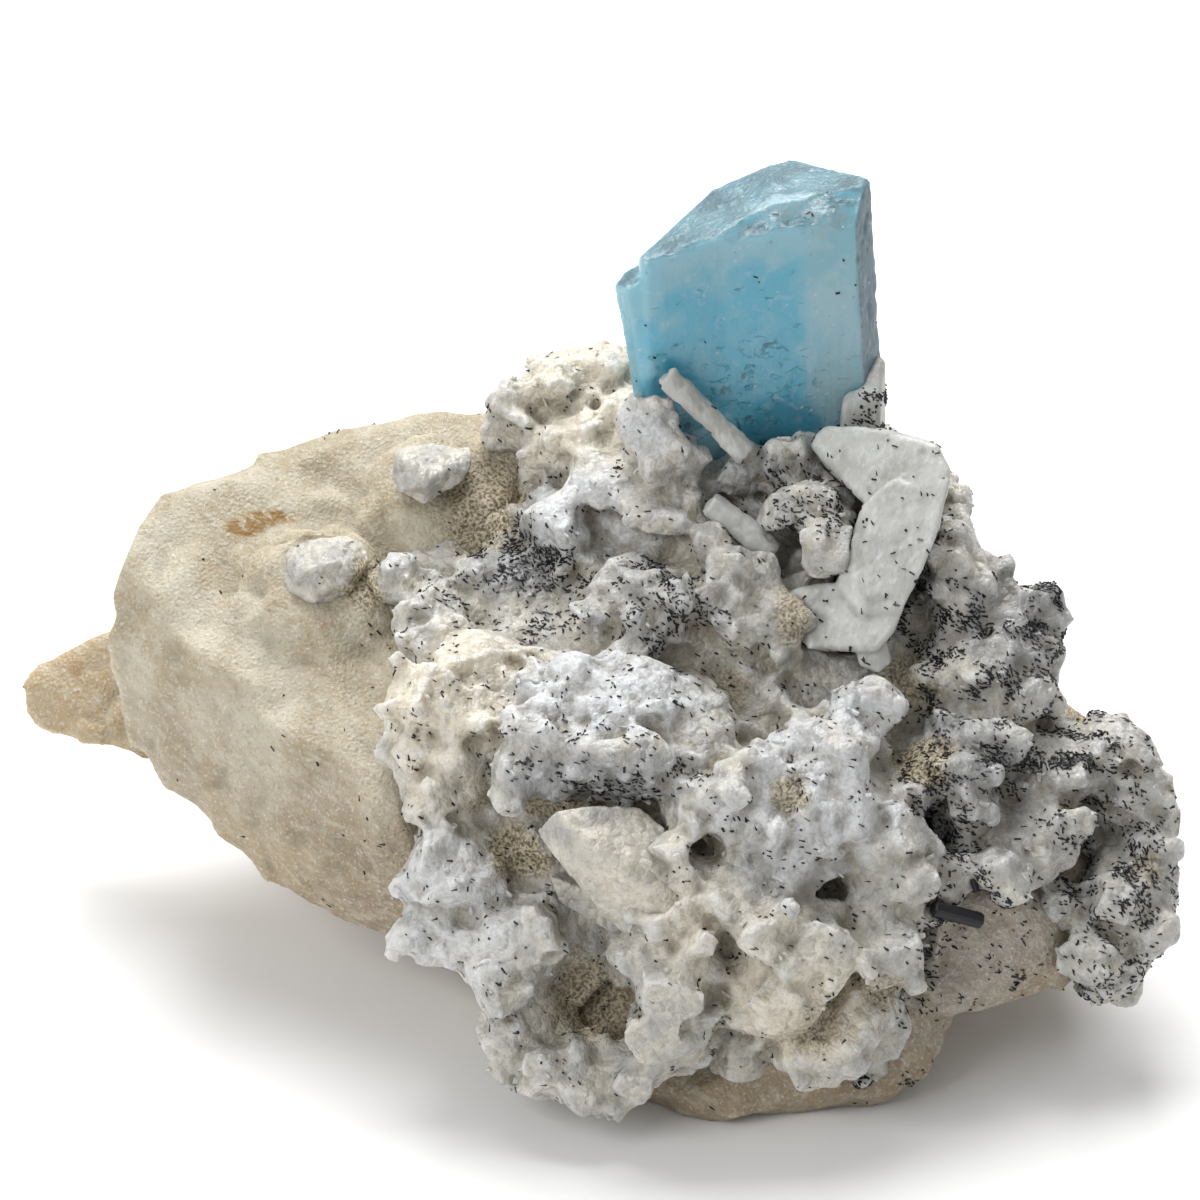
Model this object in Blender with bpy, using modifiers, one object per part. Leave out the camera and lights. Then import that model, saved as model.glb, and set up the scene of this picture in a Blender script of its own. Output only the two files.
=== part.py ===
"""An aquamarine crystal standing on its loose piece of rock, at real size.

The rock is a core of grey-cream quartz with a spur at its left end. A lumpy crust of white
albite grew over its front, top and right side, and the blue beryl prism, a few albite crystals
and some black schorl crystals are seated in that crust. The specimen rests on a flat, broken
patch under the quartz. Every piece is its own closed solid with a hairline gap round it.

World axes: X to the right, Y to the back, Z up. The origin is under the middle of the specimen,
on the surface that it rests on. Run with: blender --background --python part.py
"""

import math

import bmesh
import bpy
from mathutils import Euler, Matrix, Vector, noise

MM = 0.001  # the tables below are in millimetres, and Blender's own unit is the metre

# Driving dimensions, in millimetres.
SEAT_GAP = 0.45  # clearance cut round a seated crystal
CRUST_GAP = 1.1  # clearance between the crust and the smooth form of the quartz under it
SKIN_VOXEL = 0.85  # grid that melts overlapping lumps into one skin
BERYL_HEIGHT = 30.0  # whole prism, of which about a quarter is seated in the rock
MATRIX_TRIANGLES = 2000
CRUST_TRIANGLES = 4300
FORM_TRIANGLES = 700  # of the quartz form that is cut out of the crust
HOLLOW_TRIANGLES = 600
BOULDER_TRIANGLES = 150

# The quartz core is a few broken blocks. Each is the convex hull of its corners.
QUARTZ_BLOCKS = {
    "left shoulder": [
        (-41, 14, 41), (-44, 8, 37), (-45, 5, 30), (-44, 3, 22), (-39.5, 1, 17.5),
        (-32, -5, 12), (-27, -8, 10), (-18, -12, 9.5), (-11, -15, 6), (-31.5, 19, 42.5),
        (-25, 21, 43.5), (-15, 22, 46), (-5, 21, 44.5), (-27, -8, 28), (-18.5, -13.5, 25),
        (-41, 20, 35), (-38, 26, 26), (-33, 24, 15), (-26, 31, 36), (-8, 34, 38),
        (2, 33, 24), (-20, 30, 13), (-10, 26, 7), (4, 24, 30),
    ],
    "keel": [
        (-9, -8, -2), (3, -22, -2), (9, -26, -1), (22, -25, -1), (27, -10, -2), (27, 4, -2),
        (17, 16, -2), (1, 18, -2), (-8, 10, -2), (-15, -10, 6), (1, -25, 4.5), (8, -27.5, 2),
        (14, -28.5, 2), (22, -27, 1.5), (29, -25, 3), (29, -24.5, 7), (34, -12, 8),
        (36, 8, 10), (27, 25, 12), (0, 31, 11),
        (-15, 17, 8), (-14, -8, 25), (0, -15, 25), (14, -17, 23), (26, -15, 19),
        (29, -7, 28), (27, 4, 37), (14, 9, 42), (-2, 11, 40), (0, 26, 43), (12, 28, 42),
        (25, 24, 37), (34, 14, 28), (31, 24, 22), (8, 34, 26),
    ],
    "right wing": [
        (28, -23, 7), (38, -20.5, 8), (43, -18, 8), (46, -12, 12), (41, -18.5, 15),
        (36, -18.5, 18.5), (30, -21, 17), (47, -6, 17), (41, -7, 20), (38, 5, 30),
        (45, 5, 22), (43, 12, 12), (33, 17, 7), (27, -10, 5), (28, 0, 33), (34, 9, 35),
    ],
    "spur": [
        (-55.5, 15, 19), (-54, 17, 21), (-51, 18, 22), (-47, 18, 24.5), (-38, 20, 28),
        (-55, 14, 17), (-53, 13, 15), (-48, 12, 15.5), (-43.5, 10, 15), (-36, 10, 14),
        (-36, 20, 15), (-49, 21, 18),
    ],
}

# Beds of albite under the lumps, which tie the crust together. Hulls of their corners.
ALBITE_BEDS = {
    "terrace": [
        (-14, -8, 30), (-12, 7, 39), (-7, 15, 43), (3, 18, 47), (17, 14, 46), (25, 8, 44.5),
        (32, 1, 38), (37, -4, 31), (33, -9, 27), (22, -13, 27), (10, -14, 29), (0, -11, 32),
        (-8, -11, 30), (0, 0, 24), (20, 0, 24), (7, 26, 44), (19, 25, 43), (26, 17, 42),
    ],
    "step at the left foot": [
        (2.6, 6, 54.6), (4.4, 5, 54.4), (6.2, 4.8, 53), (8.8, 4.5, 50), (10, 5, 46),
        (4, 5, 46), (2.2, 7, 50), (2.8, 8.6, 55), (8, 9, 48),
    ],
    "front": [
        (-15, -13, 26), (-15, -15, 18), (-10, -17, 8), (-2, -23, 5), (6, -25, 6),
        (15, -25, 9), (24, -21, 7), (28, -19, 17), (24, -15, 25), (12, -17, 27),
        (0, -16, 28), (-4, -21, 18), (-8, -8, 10), (20, -10, 10),
    ],
    "right": [
        (31, -17, 15), (38, -16, 12), (45, -13, 11), (48, -8, 15), (47, -5, 23),
        (40, -3, 30), (33, -7, 29), (27, -13, 23), (30, -5, 17), (42, 0, 19),
    ],
}

# Lumps of the albite crust: name, centre, half sizes along X, Y and Z.
ALBITE_LUMPS = [
    ("back mound left", (-7.5, 18.5, 46.5), (3.5, 3.5, 3)),
    ("back mound", (-3, 20.5, 48.5), (4.5, 4.5, 4)),
    ("back mound top", (1, 20.5, 49), (4, 4, 4)),
    ("back mound right", (3.5, 14.5, 48.5), (2.5, 2.5, 3)),
    ("mound foot", (-1.5, 13.5, 47), (3, 3, 2)),
    ("mound foot left", (-5.5, 13.5, 46), (2.5, 2.5, 2)),
    ("foot block", (6, 13.5, 48.5), (3, 3, 4)),
    ("behind the beryl left", (7, 24, 45.5), (4, 3.5, 3.5)),
    ("behind the beryl", (14.5, 26, 44.5), (4.5, 3.5, 3.5)),
    ("behind the beryl right", (22, 23, 44), (4, 4, 4)),
    ("right of the beryl", (27, 16, 42), (4, 4.5, 4)),
    ("bench left", (9, 9.5, 46), (3, 3, 2)),
    ("bench middle", (13, 8.5, 47), (2.5, 2.5, 2)),
    ("bench right", (17.5, 8, 48), (3, 3, 2)),
    ("dark knob", (18.5, 3.5, 45.5), (4, 4, 1.5)),
    ("wedge by the elbow", (21, 7, 45.5), (2.8, 3, 2.6)),
    ("back slope", (29, 8, 42.5), (4.5, 4.5, 4.5)),
    ("knob right", (21, 0, 43.5), (2.5, 2.5, 3.5)),
    ("hollow rim", (5, 9.5, 46), (3, 3, 3)),
    ("plate ridge left", (0, 8.5, 46), (3.5, 3.5, 1.5)),
    ("plate ridge", (4.5, 6, 45), (4, 4, 2)),
    ("plate ridge right", (8, 4, 44), (2.5, 2.5, 2)),
    ("blade left", (-4, 6.5, 42.5), (3, 3, 2.5)),
    ("knob under prism", (10.5, 1.5, 42), (2.5, 2.5, 2.5)),
    ("specked mass", (4.5, -1.5, 38.5), (5.5, 5.5, 3.5)),
    ("cream knob", (12.5, -2, 41), (2.5, 2.5, 3)),
    ("cream knob low", (12.5, -4.5, 38), (2.5, 2.5, 2.5)),
    ("pink bank", (17, -4, 38), (3.5, 3.5, 3.5)),
    ("hollow floor", (-8, 5.5, 37), (4.5, 4.5, 3)),
    ("left knob high", (-18.5, 5.5, 37), (2.5, 2.5, 2.5)),
    ("left knob", (-15, 1.5, 36), (3, 3, 2.5)),
    ("left knob low", (-16, -2, 34), (2.5, 2.5, 2)),
    ("lobe crown", (-10.5, -5.5, 34), (4.5, 4.5, 3.5)),
    ("cream lobe", (-14, -10, 30), (5, 5, 5.5)),
    ("cream lobe foot", (-14, -13.5, 26.5), (4, 4, 3.5)),
    ("lobe right", (-9, -10, 31.5), (4.5, 4.5, 4.5)),
    ("white crest left", (-4, -10, 34), (4, 4, 3)),
    ("white crest", (1, -10, 34.5), (4.5, 4.5, 3)),
    ("white crest right", (6, -11.5, 34.5), (4, 4, 2.5)),
    ("crest flank left", (-3.5, -14.5, 30.5), (5.5, 5.5, 3.5)),
    ("crest flank right", (3.5, -15.5, 31), (5, 5, 3.5)),
    ("crest end", (9, -14, 32.5), (3.5, 3.5, 2.5)),
    ("spine top", (25.5, -11, 33.5), (2.5, 2.5, 2)),
    ("spine high", (22, -13, 32), (3, 3, 2.5)),
    ("spine middle", (18.5, -15.5, 30.5), (4, 4, 3)),
    ("spine low", (14, -18, 29), (4, 4, 3)),
    ("spine foot", (9.5, -20, 28.5), (3.5, 3.5, 2.5)),
    ("snow bank right", (21, -16.5, 27), (5, 5, 4)),
    ("snow bank left", (16.5, -20, 24.5), (4.5, 4.5, 3.5)),
    ("snow bank foot", (24, -18.5, 23), (4, 4, 4)),
    ("tan shelf", (29, -13, 28), (4, 4, 2.5)),
    ("shelf edge", (32.5, -14, 25), (3, 3, 3)),
    ("ledge high", (33, -9, 30.5), (4, 4, 1.5)),
    ("ledge low", (36, -9, 28), (3.5, 3.5, 2.5)),
    ("right knob", (36, 0, 36.5), (3.5, 3.5, 3)),
    ("right knob outer", (39.5, 0.5, 35), (2.5, 2.5, 3.5)),
    ("right knob inner", (32, -1, 38.5), (3, 3, 3.5)),
    ("right knob low", (37, -4, 32.5), (3, 3, 3)),
    ("right knob front", (32, -5, 34), (3.5, 3.5, 2.5)),
    ("slab behind", (32, 1.5, 41), (2.5, 2.5, 5)),
    ("dark bank", (40.5, -7.5, 25.5), (5.5, 5.5, 3.5)),
    ("far knob high", (46.5, -5.5, 25), (4, 4, 3.5)),
    ("far knob outer", (49, -8, 20.5), (3.5, 3.5, 5)),
    ("far knob", (47.5, -12.5, 14.5), (5, 5, 5)),
    ("far knob low", (45.5, -16, 9.5), (4, 4, 4)),
    ("far foot", (41.5, -17, 12.5), (4, 4, 3.5)),
    ("inner bank", (37.5, -14, 20.5), (4.5, 4.5, 4)),
    ("white bud", (36, -18, 19.5), (2.5, 2.5, 2)),
    ("stub left", (29, -20.5, 19), (3, 3, 2)),
    ("stub high", (27, -19, 22), (3, 3, 2.5)),
    ("stub right", (32, -18, 21), (2.5, 2.5, 2)),
    ("front lobe high", (-13, -17, 20), (4.5, 4.5, 4.5)),
    ("front lobe left", (-13.5, -18.5, 14.5), (4, 4, 3.5)),
    ("front lobe", (-7.5, -22, 15.5), (4.5, 4.5, 4)),
    ("front lobe low", (-7, -23.5, 8.5), (4, 4, 4)),
    ("front lobe toe", (-2, -27.5, 6), (4, 4, 3)),
    ("front lobe tip", (2, -29, 5.5), (2.5, 2.5, 2)),
    ("pillar top", (6.5, -27, 17), (4, 4, 3)),
    ("pillar", (6, -28, 11.5), (4, 4, 4.5)),
    ("pillar foot", (3.5, -28.5, 7.5), (3, 3, 2.5)),
    ("bridge", (12, -23.5, 22.5), (4, 4, 3)),
    ("bridge knob", (8.5, -25.5, 20.5), (2.5, 2.5, 2)),
    ("right lobe", (16.5, -25, 17), (5, 5, 5)),
    ("right lobe left", (14, -26.5, 13), (4, 4, 3.5)),
    ("right lobe low", (19, -25, 9.5), (4.5, 4.5, 4)),
    ("hook", (17.5, -26, 6), (2.5, 2.5, 1.5)),
    ("curtain", (24.5, -22.5, 15.5), (3.5, 3.5, 6)),
    ("curtain foot", (25.5, -24, 7), (3, 3, 4.5)),
]

# Hollows cut into the crust: name, centre, half sizes, turn about Y in degrees.
CRUST_HOLLOWS = [
    ("front cavity", (1.6, -29, 14.5), (2.3, 6.5, 6), -4),
    ("hole beside plate", (8.4, -23, 29.5), (1.7, 3.5, 1.2), 35),
    ("hollow under beryl", (11, 4.5, 46.5), (2.6, 3, 1.2), 20),
    ("diamond hollow", (0.5, 0.5, 42.5), (1.8, 3, 2.6), 30),
    ("crest slit", (-8, -11.5, 34.5), (0.8, 2.5, 2), 0),
    ("under the ledge", (19.5, -12.5, 35), (3.2, 2.5, 1.2), -5),
    ("bridge hole left", (9.2, -28, 19), (0.8, 3, 1), 0),
    ("bridge hole right", (11.8, -28, 19), (0.7, 3, 0.9), 0),
    ("above the plate", (-2.5, -26, 26.5), (2, 3.5, 2), 30),
    ("beside the pillar", (10.6, -30, 12), (0.8, 3, 4.5), 10),
    ("slot by the wing", (27.5, -24.5, 15.5), (1.2, 3, 3), 0),
    ("spine pocket", (25.5, -18, 28), (1.4, 2.5, 2), 0),
]

# The beryl: a flattened hexagonal prism. Its top outline, from the front left corner round
# to the left, in X and Y; the foot has the same outline, smaller and further to the right.
BERYL_TOP = [(3.8, 8), (22.6, 12.3), (24.3, 16.6), (17.5, 22.2), (10, 19.6), (3.3, 9.4)]
BERYL_TOP_Z = 71  # height over the middle of the top face
BERYL_TOP_RISE = 0.11  # how much higher the top is for each millimetre to the right
BERYL_TAPER = 1.02  # size of the foot against the top
BERYL_SIDEWAYS = 0.9  # how far to the right of the top the foot stands
SIDE_CRYSTAL = {
    "top": [(1.2, 9.9), (2.2, 8.3), (4.4, 8.3), (6, 10), (5, 12), (2.2, 12)],
    "height": 67.4,
    "length": 20.0,
    "rise": 0.6,
    "sideways": 2.9,
}

# Two flat albite blades grown together at an elbow, and the foot they stand on.
BENT_ALBITE = {
    "upper arm": [
        (20, 6, 52.5), (25, 4, 53.4), (30, 1.5, 53), (31.2, -0.8, 51.3), (25, 0, 49.3),
        (23.5, -0.5, 48), (19, 5, 51), (20, 10.5, 49.5), (25, 9, 50.5), (30, 6.5, 50.5),
        (31, 4, 48.5), (25, 5.5, 46.5), (19, 10, 48),
    ],
    "lower arm": [
        (25, 0.3, 49.6), (31, -1, 51), (30, -3.5, 47.5), (28.5, -5.7, 44.5),
        (26.5, -7.5, 41), (23, -7, 40.5), (21, -4.5, 42), (23.5, -0.2, 48),
        (25, 5.5, 46.5), (31, 3.5, 48), (28.5, -0.5, 41.5), (26, -2.5, 38.5),
        (21, 1, 38.5),
    ],
    "foot": [
        (16, -2.7, 40), (17.5, -3.2, 41), (20.5, -3.7, 42), (24, -5, 42.5),
        (27, -7, 41.5), (26, -8.5, 39.5), (24.5, -9, 38), (22, -8.3, 37.6),
        (18.5, -7, 37), (16.5, -4.5, 37.5), (17, 2, 37.5), (26, -2.5, 37), (22, -3, 34.5),
    ],
    "heel": [
        (23, -7, 38), (25.5, -7.5, 38.3), (26, -8.5, 36.5), (24.5, -9.5, 35.7),
        (22.8, -8.8, 36.4), (25, -4.5, 35), (23, -4.5, 36.5),
    ],
}

# The block behind the right foot of the beryl.
ALBITE_BLOCK = [
    (21.8, 9.8, 44), (25.8, 10.2, 44), (26.3, 16.5, 44), (21.5, 15, 44), (22, 10.2, 52.6),
    (25.2, 10.6, 52.4), (25.9, 15.4, 54.6), (24.5, 17, 54.8), (22.5, 14, 53.6),
]

# Slim six-sided albite crystals: start, end, thickness, width over thickness, roll in degrees.
ALBITE_RODS = {
    "leaning_albite_prism": ((5.9, 6.5, 57.4), (13.2, 4.6, 50.3), 2.1, 1.15, 10),
    "central_albite_prism": ((9.8, 2.6, 46.6), (15.6, 0.4, 42.6), 2.0, 1.3, 20),
}

# Smooth lumps that stand clear of the rock: centre, half sizes, turn in degrees, seed.
ALBITE_BOULDERS = {
    "albite_lump_left": ((-25.2, 4.6, 38), (4.4, 3.6, 3.1), (25, 0, 8), 3),
    "albite_lump_upper": ((-15.6, 12.2, 43.6), (3.9, 3.4, 3.1), (25, -30, 10), 9),
    "curved_albite_plate": ((0.6, -22.2, 26.6), (6.6, 2.6, 4.0), (-28, 20, 12), 5),
}

# Black schorl crystals lying in the crust. Each is dropped onto the rock along Y at this X and
# Z: X, Z, length, thickness, then the direction it points in.
SCHORL_CRYSTALS = [
    (31.4, 18.9, 4.9, 1.6, (1, 0.2, -0.45)),
    (29.2, 13.4, 2.6, 0.7, (1, 0.2, -0.4)),
    (41.8, 12.6, 1.9, 0.6, (0.6, -0.6, -0.7)),
    (48, 15.8, 2.2, 0.7, (0.7, 0.6, 0.6)),
    (33, 20.6, 1.6, 0.7, (0.3, -0.5, -0.8)),
]


def clear_scene():
    for obj in list(bpy.data.objects):
        bpy.data.objects.remove(obj, do_unlink=True)


def new_collection(name, helper=False):
    made = bpy.data.collections.new(name)
    made.hide_render = helper
    bpy.context.scene.collection.children.link(made)
    return made


def material(name, colour, roughness, transmission=0.0):
    """A plain material; colour is linear red, green and blue."""
    made = bpy.data.materials.new(name)
    made.use_nodes = True
    shader = made.node_tree.nodes["Principled BSDF"]
    shader.inputs["Base Color"].default_value = (*colour, 1)
    shader.inputs["Roughness"].default_value = roughness
    shader.inputs["Transmission Weight"].default_value = transmission
    made.diffuse_color = (*colour, 1)
    return made


def new_object(name, shape, home):
    """An object of the bmesh shape, which is used up."""
    bmesh.ops.recalc_face_normals(shape, faces=shape.faces)
    mesh = bpy.data.meshes.new(name)
    shape.to_mesh(mesh)
    shape.free()
    made = bpy.data.objects.new(name, mesh)
    home.objects.link(made)
    return made


def bake(obj):
    """Gives the object the mesh that its modifiers make, and drops them."""
    bpy.context.view_layer.update()
    graph = bpy.context.evaluated_depsgraph_get()
    baked = bpy.data.meshes.new_from_object(obj.evaluated_get(graph))
    plain = obj.data
    obj.modifiers.clear()
    obj.data = baked
    bpy.data.meshes.remove(plain)


def add_hull(shape, corners):
    """Adds the convex hull of the corners, which are in millimetres."""
    points = [shape.verts.new(Vector(corner) * MM) for corner in corners]
    bmesh.ops.convex_hull(shape, input=points)
    loose = [point for point in points if not point.link_faces]
    bmesh.ops.delete(shape, geom=loose, context="VERTS")


def add_lump(shape, centre, half_sizes, turn=0.0):
    """Adds an icosphere squeezed to the half sizes and turned about Y, in millimetres."""
    place = Matrix.Translation(Vector(centre) * MM)
    place = place @ Matrix.Rotation(math.radians(turn), 4, "Y")
    place = place @ Matrix.Diagonal((*(size * MM for size in half_sizes), 1))
    bmesh.ops.create_icosphere(shape, subdivisions=3, radius=1, matrix=place)


def melt(obj, voxel):
    """Turns overlapping closed shapes into one skin."""
    remesh = obj.modifiers.new("one skin", "REMESH")
    remesh.mode = "VOXEL"
    remesh.voxel_size = voxel * MM
    bake(obj)


def roughen(obj, knob_size, knob_height, grain_size, grain_height, seed):
    """Pushes the skin out into knobs, and in and out by a finer grain. All in millimetres."""
    shift = Vector((seed, 2.7 * seed, -1.9 * seed))
    normals = [vertex.normal.copy() for vertex in obj.data.vertices]
    for vertex, normal in zip(obj.data.vertices, normals):
        place = vertex.co / MM
        nearest, second = noise.voronoi(place / knob_size + shift)[0][:2]
        knob = min(second - nearest, 0.6) / 0.6 - 0.5
        grain = noise.noise(place / grain_size + shift)
        vertex.co += normal * (knob * knob_height + grain * grain_height) * MM


def simplify(obj, triangles):
    """Collapses edges until about this many triangles are left."""
    count = sum(len(face.vertices) - 2 for face in obj.data.polygons)
    if count <= triangles:
        return
    decimate = obj.modifiers.new("fewer faces", "DECIMATE")
    decimate.ratio = triangles / count
    decimate.use_collapse_triangulate = True
    bake(obj)


def cut(obj, cutter):
    boolean = obj.modifiers.new("cut by " + cutter.name, "BOOLEAN")
    boolean.operation = "DIFFERENCE"
    boolean.object = cutter
    bake(obj)


def volume_of(faces):
    """Six times the volume inside a closed set of triangles or polygons."""
    total = 0.0
    for face in faces:
        first = face.verts[0].co
        for one, other in zip(face.verts[1:], face.verts[2:]):
            total += first.dot(one.co.cross(other.co))
    return total


def keep_largest_body(obj):
    """Drops the crumbs that a cut leaves."""
    shape = bmesh.new()
    shape.from_mesh(obj.data)
    unseen = set(shape.faces)
    bodies = []
    while unseen:
        body = set()
        edge_of_body = [unseen.pop()]
        while edge_of_body:
            face = edge_of_body.pop()
            body.add(face)
            for edge in face.edges:
                for other in edge.link_faces:
                    if other in unseen:
                        unseen.remove(other)
                        edge_of_body.append(other)
        bodies.append(body)
    bodies.sort(key=volume_of)
    crumbs = [face for body in bodies[:-1] for face in body]
    bmesh.ops.delete(shape, geom=crumbs, context="FACES")
    shape.to_mesh(obj.data)
    shape.free()


def grown_copy(obj, amount, home):
    """A copy of the object with its skin moved out, to cut the room that it needs."""
    made = bpy.data.objects.new("room for " + obj.name, obj.data.copy())
    made.display_type = "WIRE"
    home.objects.link(made)
    swell = made.modifiers.new("clearance", "DISPLACE")
    swell.strength = amount * MM
    swell.mid_level = 0
    bake(made)
    return made


def floor_cutter(top, home):
    """A block that cuts away what is below this height, in millimetres."""
    shape = bmesh.new()
    bmesh.ops.create_cube(shape, size=0.4)
    bmesh.ops.translate(shape, verts=shape.verts, vec=(0, 0, top * MM - 0.2))
    made = new_object("below the rest", shape, home)
    made.display_type = "WIRE"
    return made


def quartz_matrix(home, helpers):
    shape = bmesh.new()
    for corners in QUARTZ_BLOCKS.values():
        add_hull(shape, corners)
    obj = new_object("quartz_matrix", shape, home)
    melt(obj, SKIN_VOXEL)
    smooth_form = grown_copy(obj, CRUST_GAP, helpers)
    melt(smooth_form, SKIN_VOXEL)
    simplify(smooth_form, FORM_TRIANGLES)
    roughen(obj, 7.0, 0.7, 2.6, 0.6, seed=4)
    simplify(obj, MATRIX_TRIANGLES)
    cut(obj, floor_cutter(0, helpers))
    obj.data.materials.append(material("quartz", (0.62, 0.56, 0.45), 0.55))
    return obj, smooth_form


def albite_crust(home, helpers, smooth_form):
    shape = bmesh.new()
    for corners in ALBITE_BEDS.values():
        add_hull(shape, corners)
    for _, centre, half_sizes in ALBITE_LUMPS:
        add_lump(shape, centre, half_sizes)
    obj = new_object("albite_crust", shape, home)
    melt(obj, SKIN_VOXEL)
    roughen(obj, 3.4, 0.6, 1.8, 0.5, seed=11)
    melt(obj, SKIN_VOXEL)
    hollows = bmesh.new()
    for _, centre, half_sizes, turn in CRUST_HOLLOWS:
        add_lump(hollows, centre, half_sizes, turn)
    cutter = new_object("hollows", hollows, helpers)
    cutter.display_type = "WIRE"
    melt(cutter, SKIN_VOXEL / 2)
    simplify(cutter, HOLLOW_TRIANGLES)
    keep_largest_body(obj)
    simplify(obj, CRUST_TRIANGLES)
    cut(obj, smooth_form)
    cut(obj, cutter)
    cut(obj, floor_cutter(0.4, helpers))
    keep_largest_body(obj)
    obj.data.materials.append(material("albite crust", (0.72, 0.71, 0.68), 0.5))
    return obj


def add_prism(shape, outline, height, rise, length, taper, sideways):
    """Adds a prism whose top has this outline and slopes up to the right, in millimetres."""
    middle = sum((Vector(point) for point in outline), Vector((0, 0))) / len(outline)
    top = [(x, y, height + rise * (x - middle.x)) for x, y in outline]
    foot = []
    for x, y, z in top:
        foot_x = middle.x + sideways + taper * (x - middle.x)
        foot.append((foot_x, middle.y + taper * (y - middle.y), z - length))
    add_hull(shape, top + foot)


def blunt_edges(obj, width):
    """Takes the sharpness off the edges, in millimetres."""
    bevel = obj.modifiers.new("blunt edges", "BEVEL")
    bevel.width = width * MM
    bevel.segments = 1
    bevel.limit_method = "ANGLE"
    bevel.angle_limit = math.radians(20)
    bake(obj)


def join(obj, other):
    """Makes the two overlapping solids one, under the first one's name."""
    boolean = obj.modifiers.new("grown together", "BOOLEAN")
    boolean.operation = "UNION"
    boolean.object = other
    bake(obj)
    bpy.data.objects.remove(other, do_unlink=True)


def aquamarine_crystal(home):
    shape = bmesh.new()
    add_prism(shape, BERYL_TOP, BERYL_TOP_Z, BERYL_TOP_RISE, BERYL_HEIGHT, BERYL_TAPER, BERYL_SIDEWAYS)
    obj = new_object("aquamarine_crystal", shape, home)
    blunt_edges(obj, 0.35)
    side = bmesh.new()
    size = SIDE_CRYSTAL
    add_prism(side, size["top"], size["height"], size["rise"], size["length"], 1, size["sideways"])
    companion = new_object("side crystal", side, home)
    blunt_edges(companion, 0.2)
    join(obj, companion)
    obj.data.materials.append(material("blue beryl", (0.14, 0.42, 0.53), 0.12, 0.6))
    return obj


def bent_albite_crystal(home, albite):
    obj = None
    for name, corners in BENT_ALBITE.items():
        shape = bmesh.new()
        add_hull(shape, corners)
        limb = new_object("bent_albite_crystal" if obj is None else name, shape, home)
        blunt_edges(limb, 0.3)
        if obj is None:
            obj = limb
        else:
            join(obj, limb)
    obj.data.materials.append(albite)
    return obj


def albite_rod(name, start, end, thickness, flatness, roll, home, albite):
    """A slim six-sided crystal from start to end."""
    along = (Vector(end) - Vector(start)) * MM
    shape = bmesh.new()
    bmesh.ops.create_cone(
        shape,
        cap_ends=True,
        segments=6,
        radius1=thickness / 2 * MM,
        radius2=thickness / 2 * MM,
        depth=along.length,
    )
    turn = along.to_track_quat("Z", "Y").to_matrix().to_4x4()
    place = Matrix.Translation((Vector(start) + Vector(end)) / 2 * MM) @ turn
    place = place @ Matrix.Rotation(math.radians(roll), 4, "Z")
    bmesh.ops.transform(shape, matrix=place @ Matrix.Diagonal((flatness, 1, 1, 1)), verts=shape.verts)
    obj = new_object(name, shape, home)
    blunt_edges(obj, thickness / 10)
    obj.data.materials.append(albite)
    return obj


def albite_block(home, albite):
    shape = bmesh.new()
    add_hull(shape, ALBITE_BLOCK)
    obj = new_object("albite_block", shape, home)
    blunt_edges(obj, 0.3)
    obj.data.materials.append(albite)
    return obj


def albite_boulder(name, centre, half_sizes, turn, seed, home, albite):
    shape = bmesh.new()
    angles = Euler([math.radians(angle) for angle in turn])
    place = Matrix.Translation(Vector(centre) * MM) @ angles.to_matrix().to_4x4()
    place = place @ Matrix.Diagonal((*(size * MM for size in half_sizes), 1))
    bmesh.ops.create_icosphere(shape, subdivisions=4, radius=1, matrix=place)
    obj = new_object(name, shape, home)
    roughen(obj, 4.2, 0.6, 2.4, 0.6, seed)
    simplify(obj, BOULDER_TRIANGLES)
    obj.data.materials.append(albite)
    return obj


def schorl_crystal(number, x, z, length, thickness, direction, rocks, home, schorl):
    """A black prism lying on the first of the rocks that a line along Y meets."""
    hits = [rock.ray_cast(Vector((x, -60, z)) * MM, Vector((0, 1, 0))) for rock in rocks]
    place = min((where for found, where, _, _ in hits if found), key=lambda where: where.y)
    centre = place / MM + Vector((0, 0.1 * thickness, 0))
    reach = Vector(direction).normalized() * length / 2
    name = f"schorl_crystal_{number}"
    return albite_rod(name, centre - reach, centre + reach, thickness, 1, 15, home, schorl)


def boxes_meet(one, other):
    """Whether the boxes round two objects, which are unturned, come within 1 mm."""
    for axis in range(3):
        spans = []
        for obj in (one, other):
            values = [corner[axis] for corner in obj.bound_box]
            spans.append((min(values), max(values)))
        if spans[0][0] > spans[1][1] + MM or spans[1][0] > spans[0][1] + MM:
            return False
    return True


def make_room(obj, seated, helpers):
    """Cuts each seated piece's room out of the object."""
    for piece in seated:
        if boxes_meet(obj, piece):
            cut(obj, grown_copy(piece, SEAT_GAP, helpers))
    keep_largest_body(obj)


def main():
    clear_scene()
    home = new_collection("Aquamarine crystal")
    helpers = new_collection("Cutters", helper=True)
    core, smooth_form = quartz_matrix(home, helpers)
    crust = albite_crust(home, helpers, smooth_form)
    albite = material("albite", (0.78, 0.77, 0.73), 0.4)
    pieces = [aquamarine_crystal(home), bent_albite_crystal(home, albite)]
    for name, size in ALBITE_RODS.items():
        pieces.append(albite_rod(name, *size, home, albite))
    pieces.append(albite_block(home, albite))
    for name, size in ALBITE_BOULDERS.items():
        pieces.append(albite_boulder(name, *size, home, albite))
    schorl = material("schorl", (0.012, 0.012, 0.014), 0.35)
    for number, size in enumerate(SCHORL_CRYSTALS, 1):
        pieces.append(schorl_crystal(number, *size, (core, crust), home, schorl))
    for later, piece in enumerate(pieces):
        make_room(piece, pieces[:later], helpers)
    make_room(core, pieces, helpers)
    make_room(crust, pieces, helpers)


main()
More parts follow.
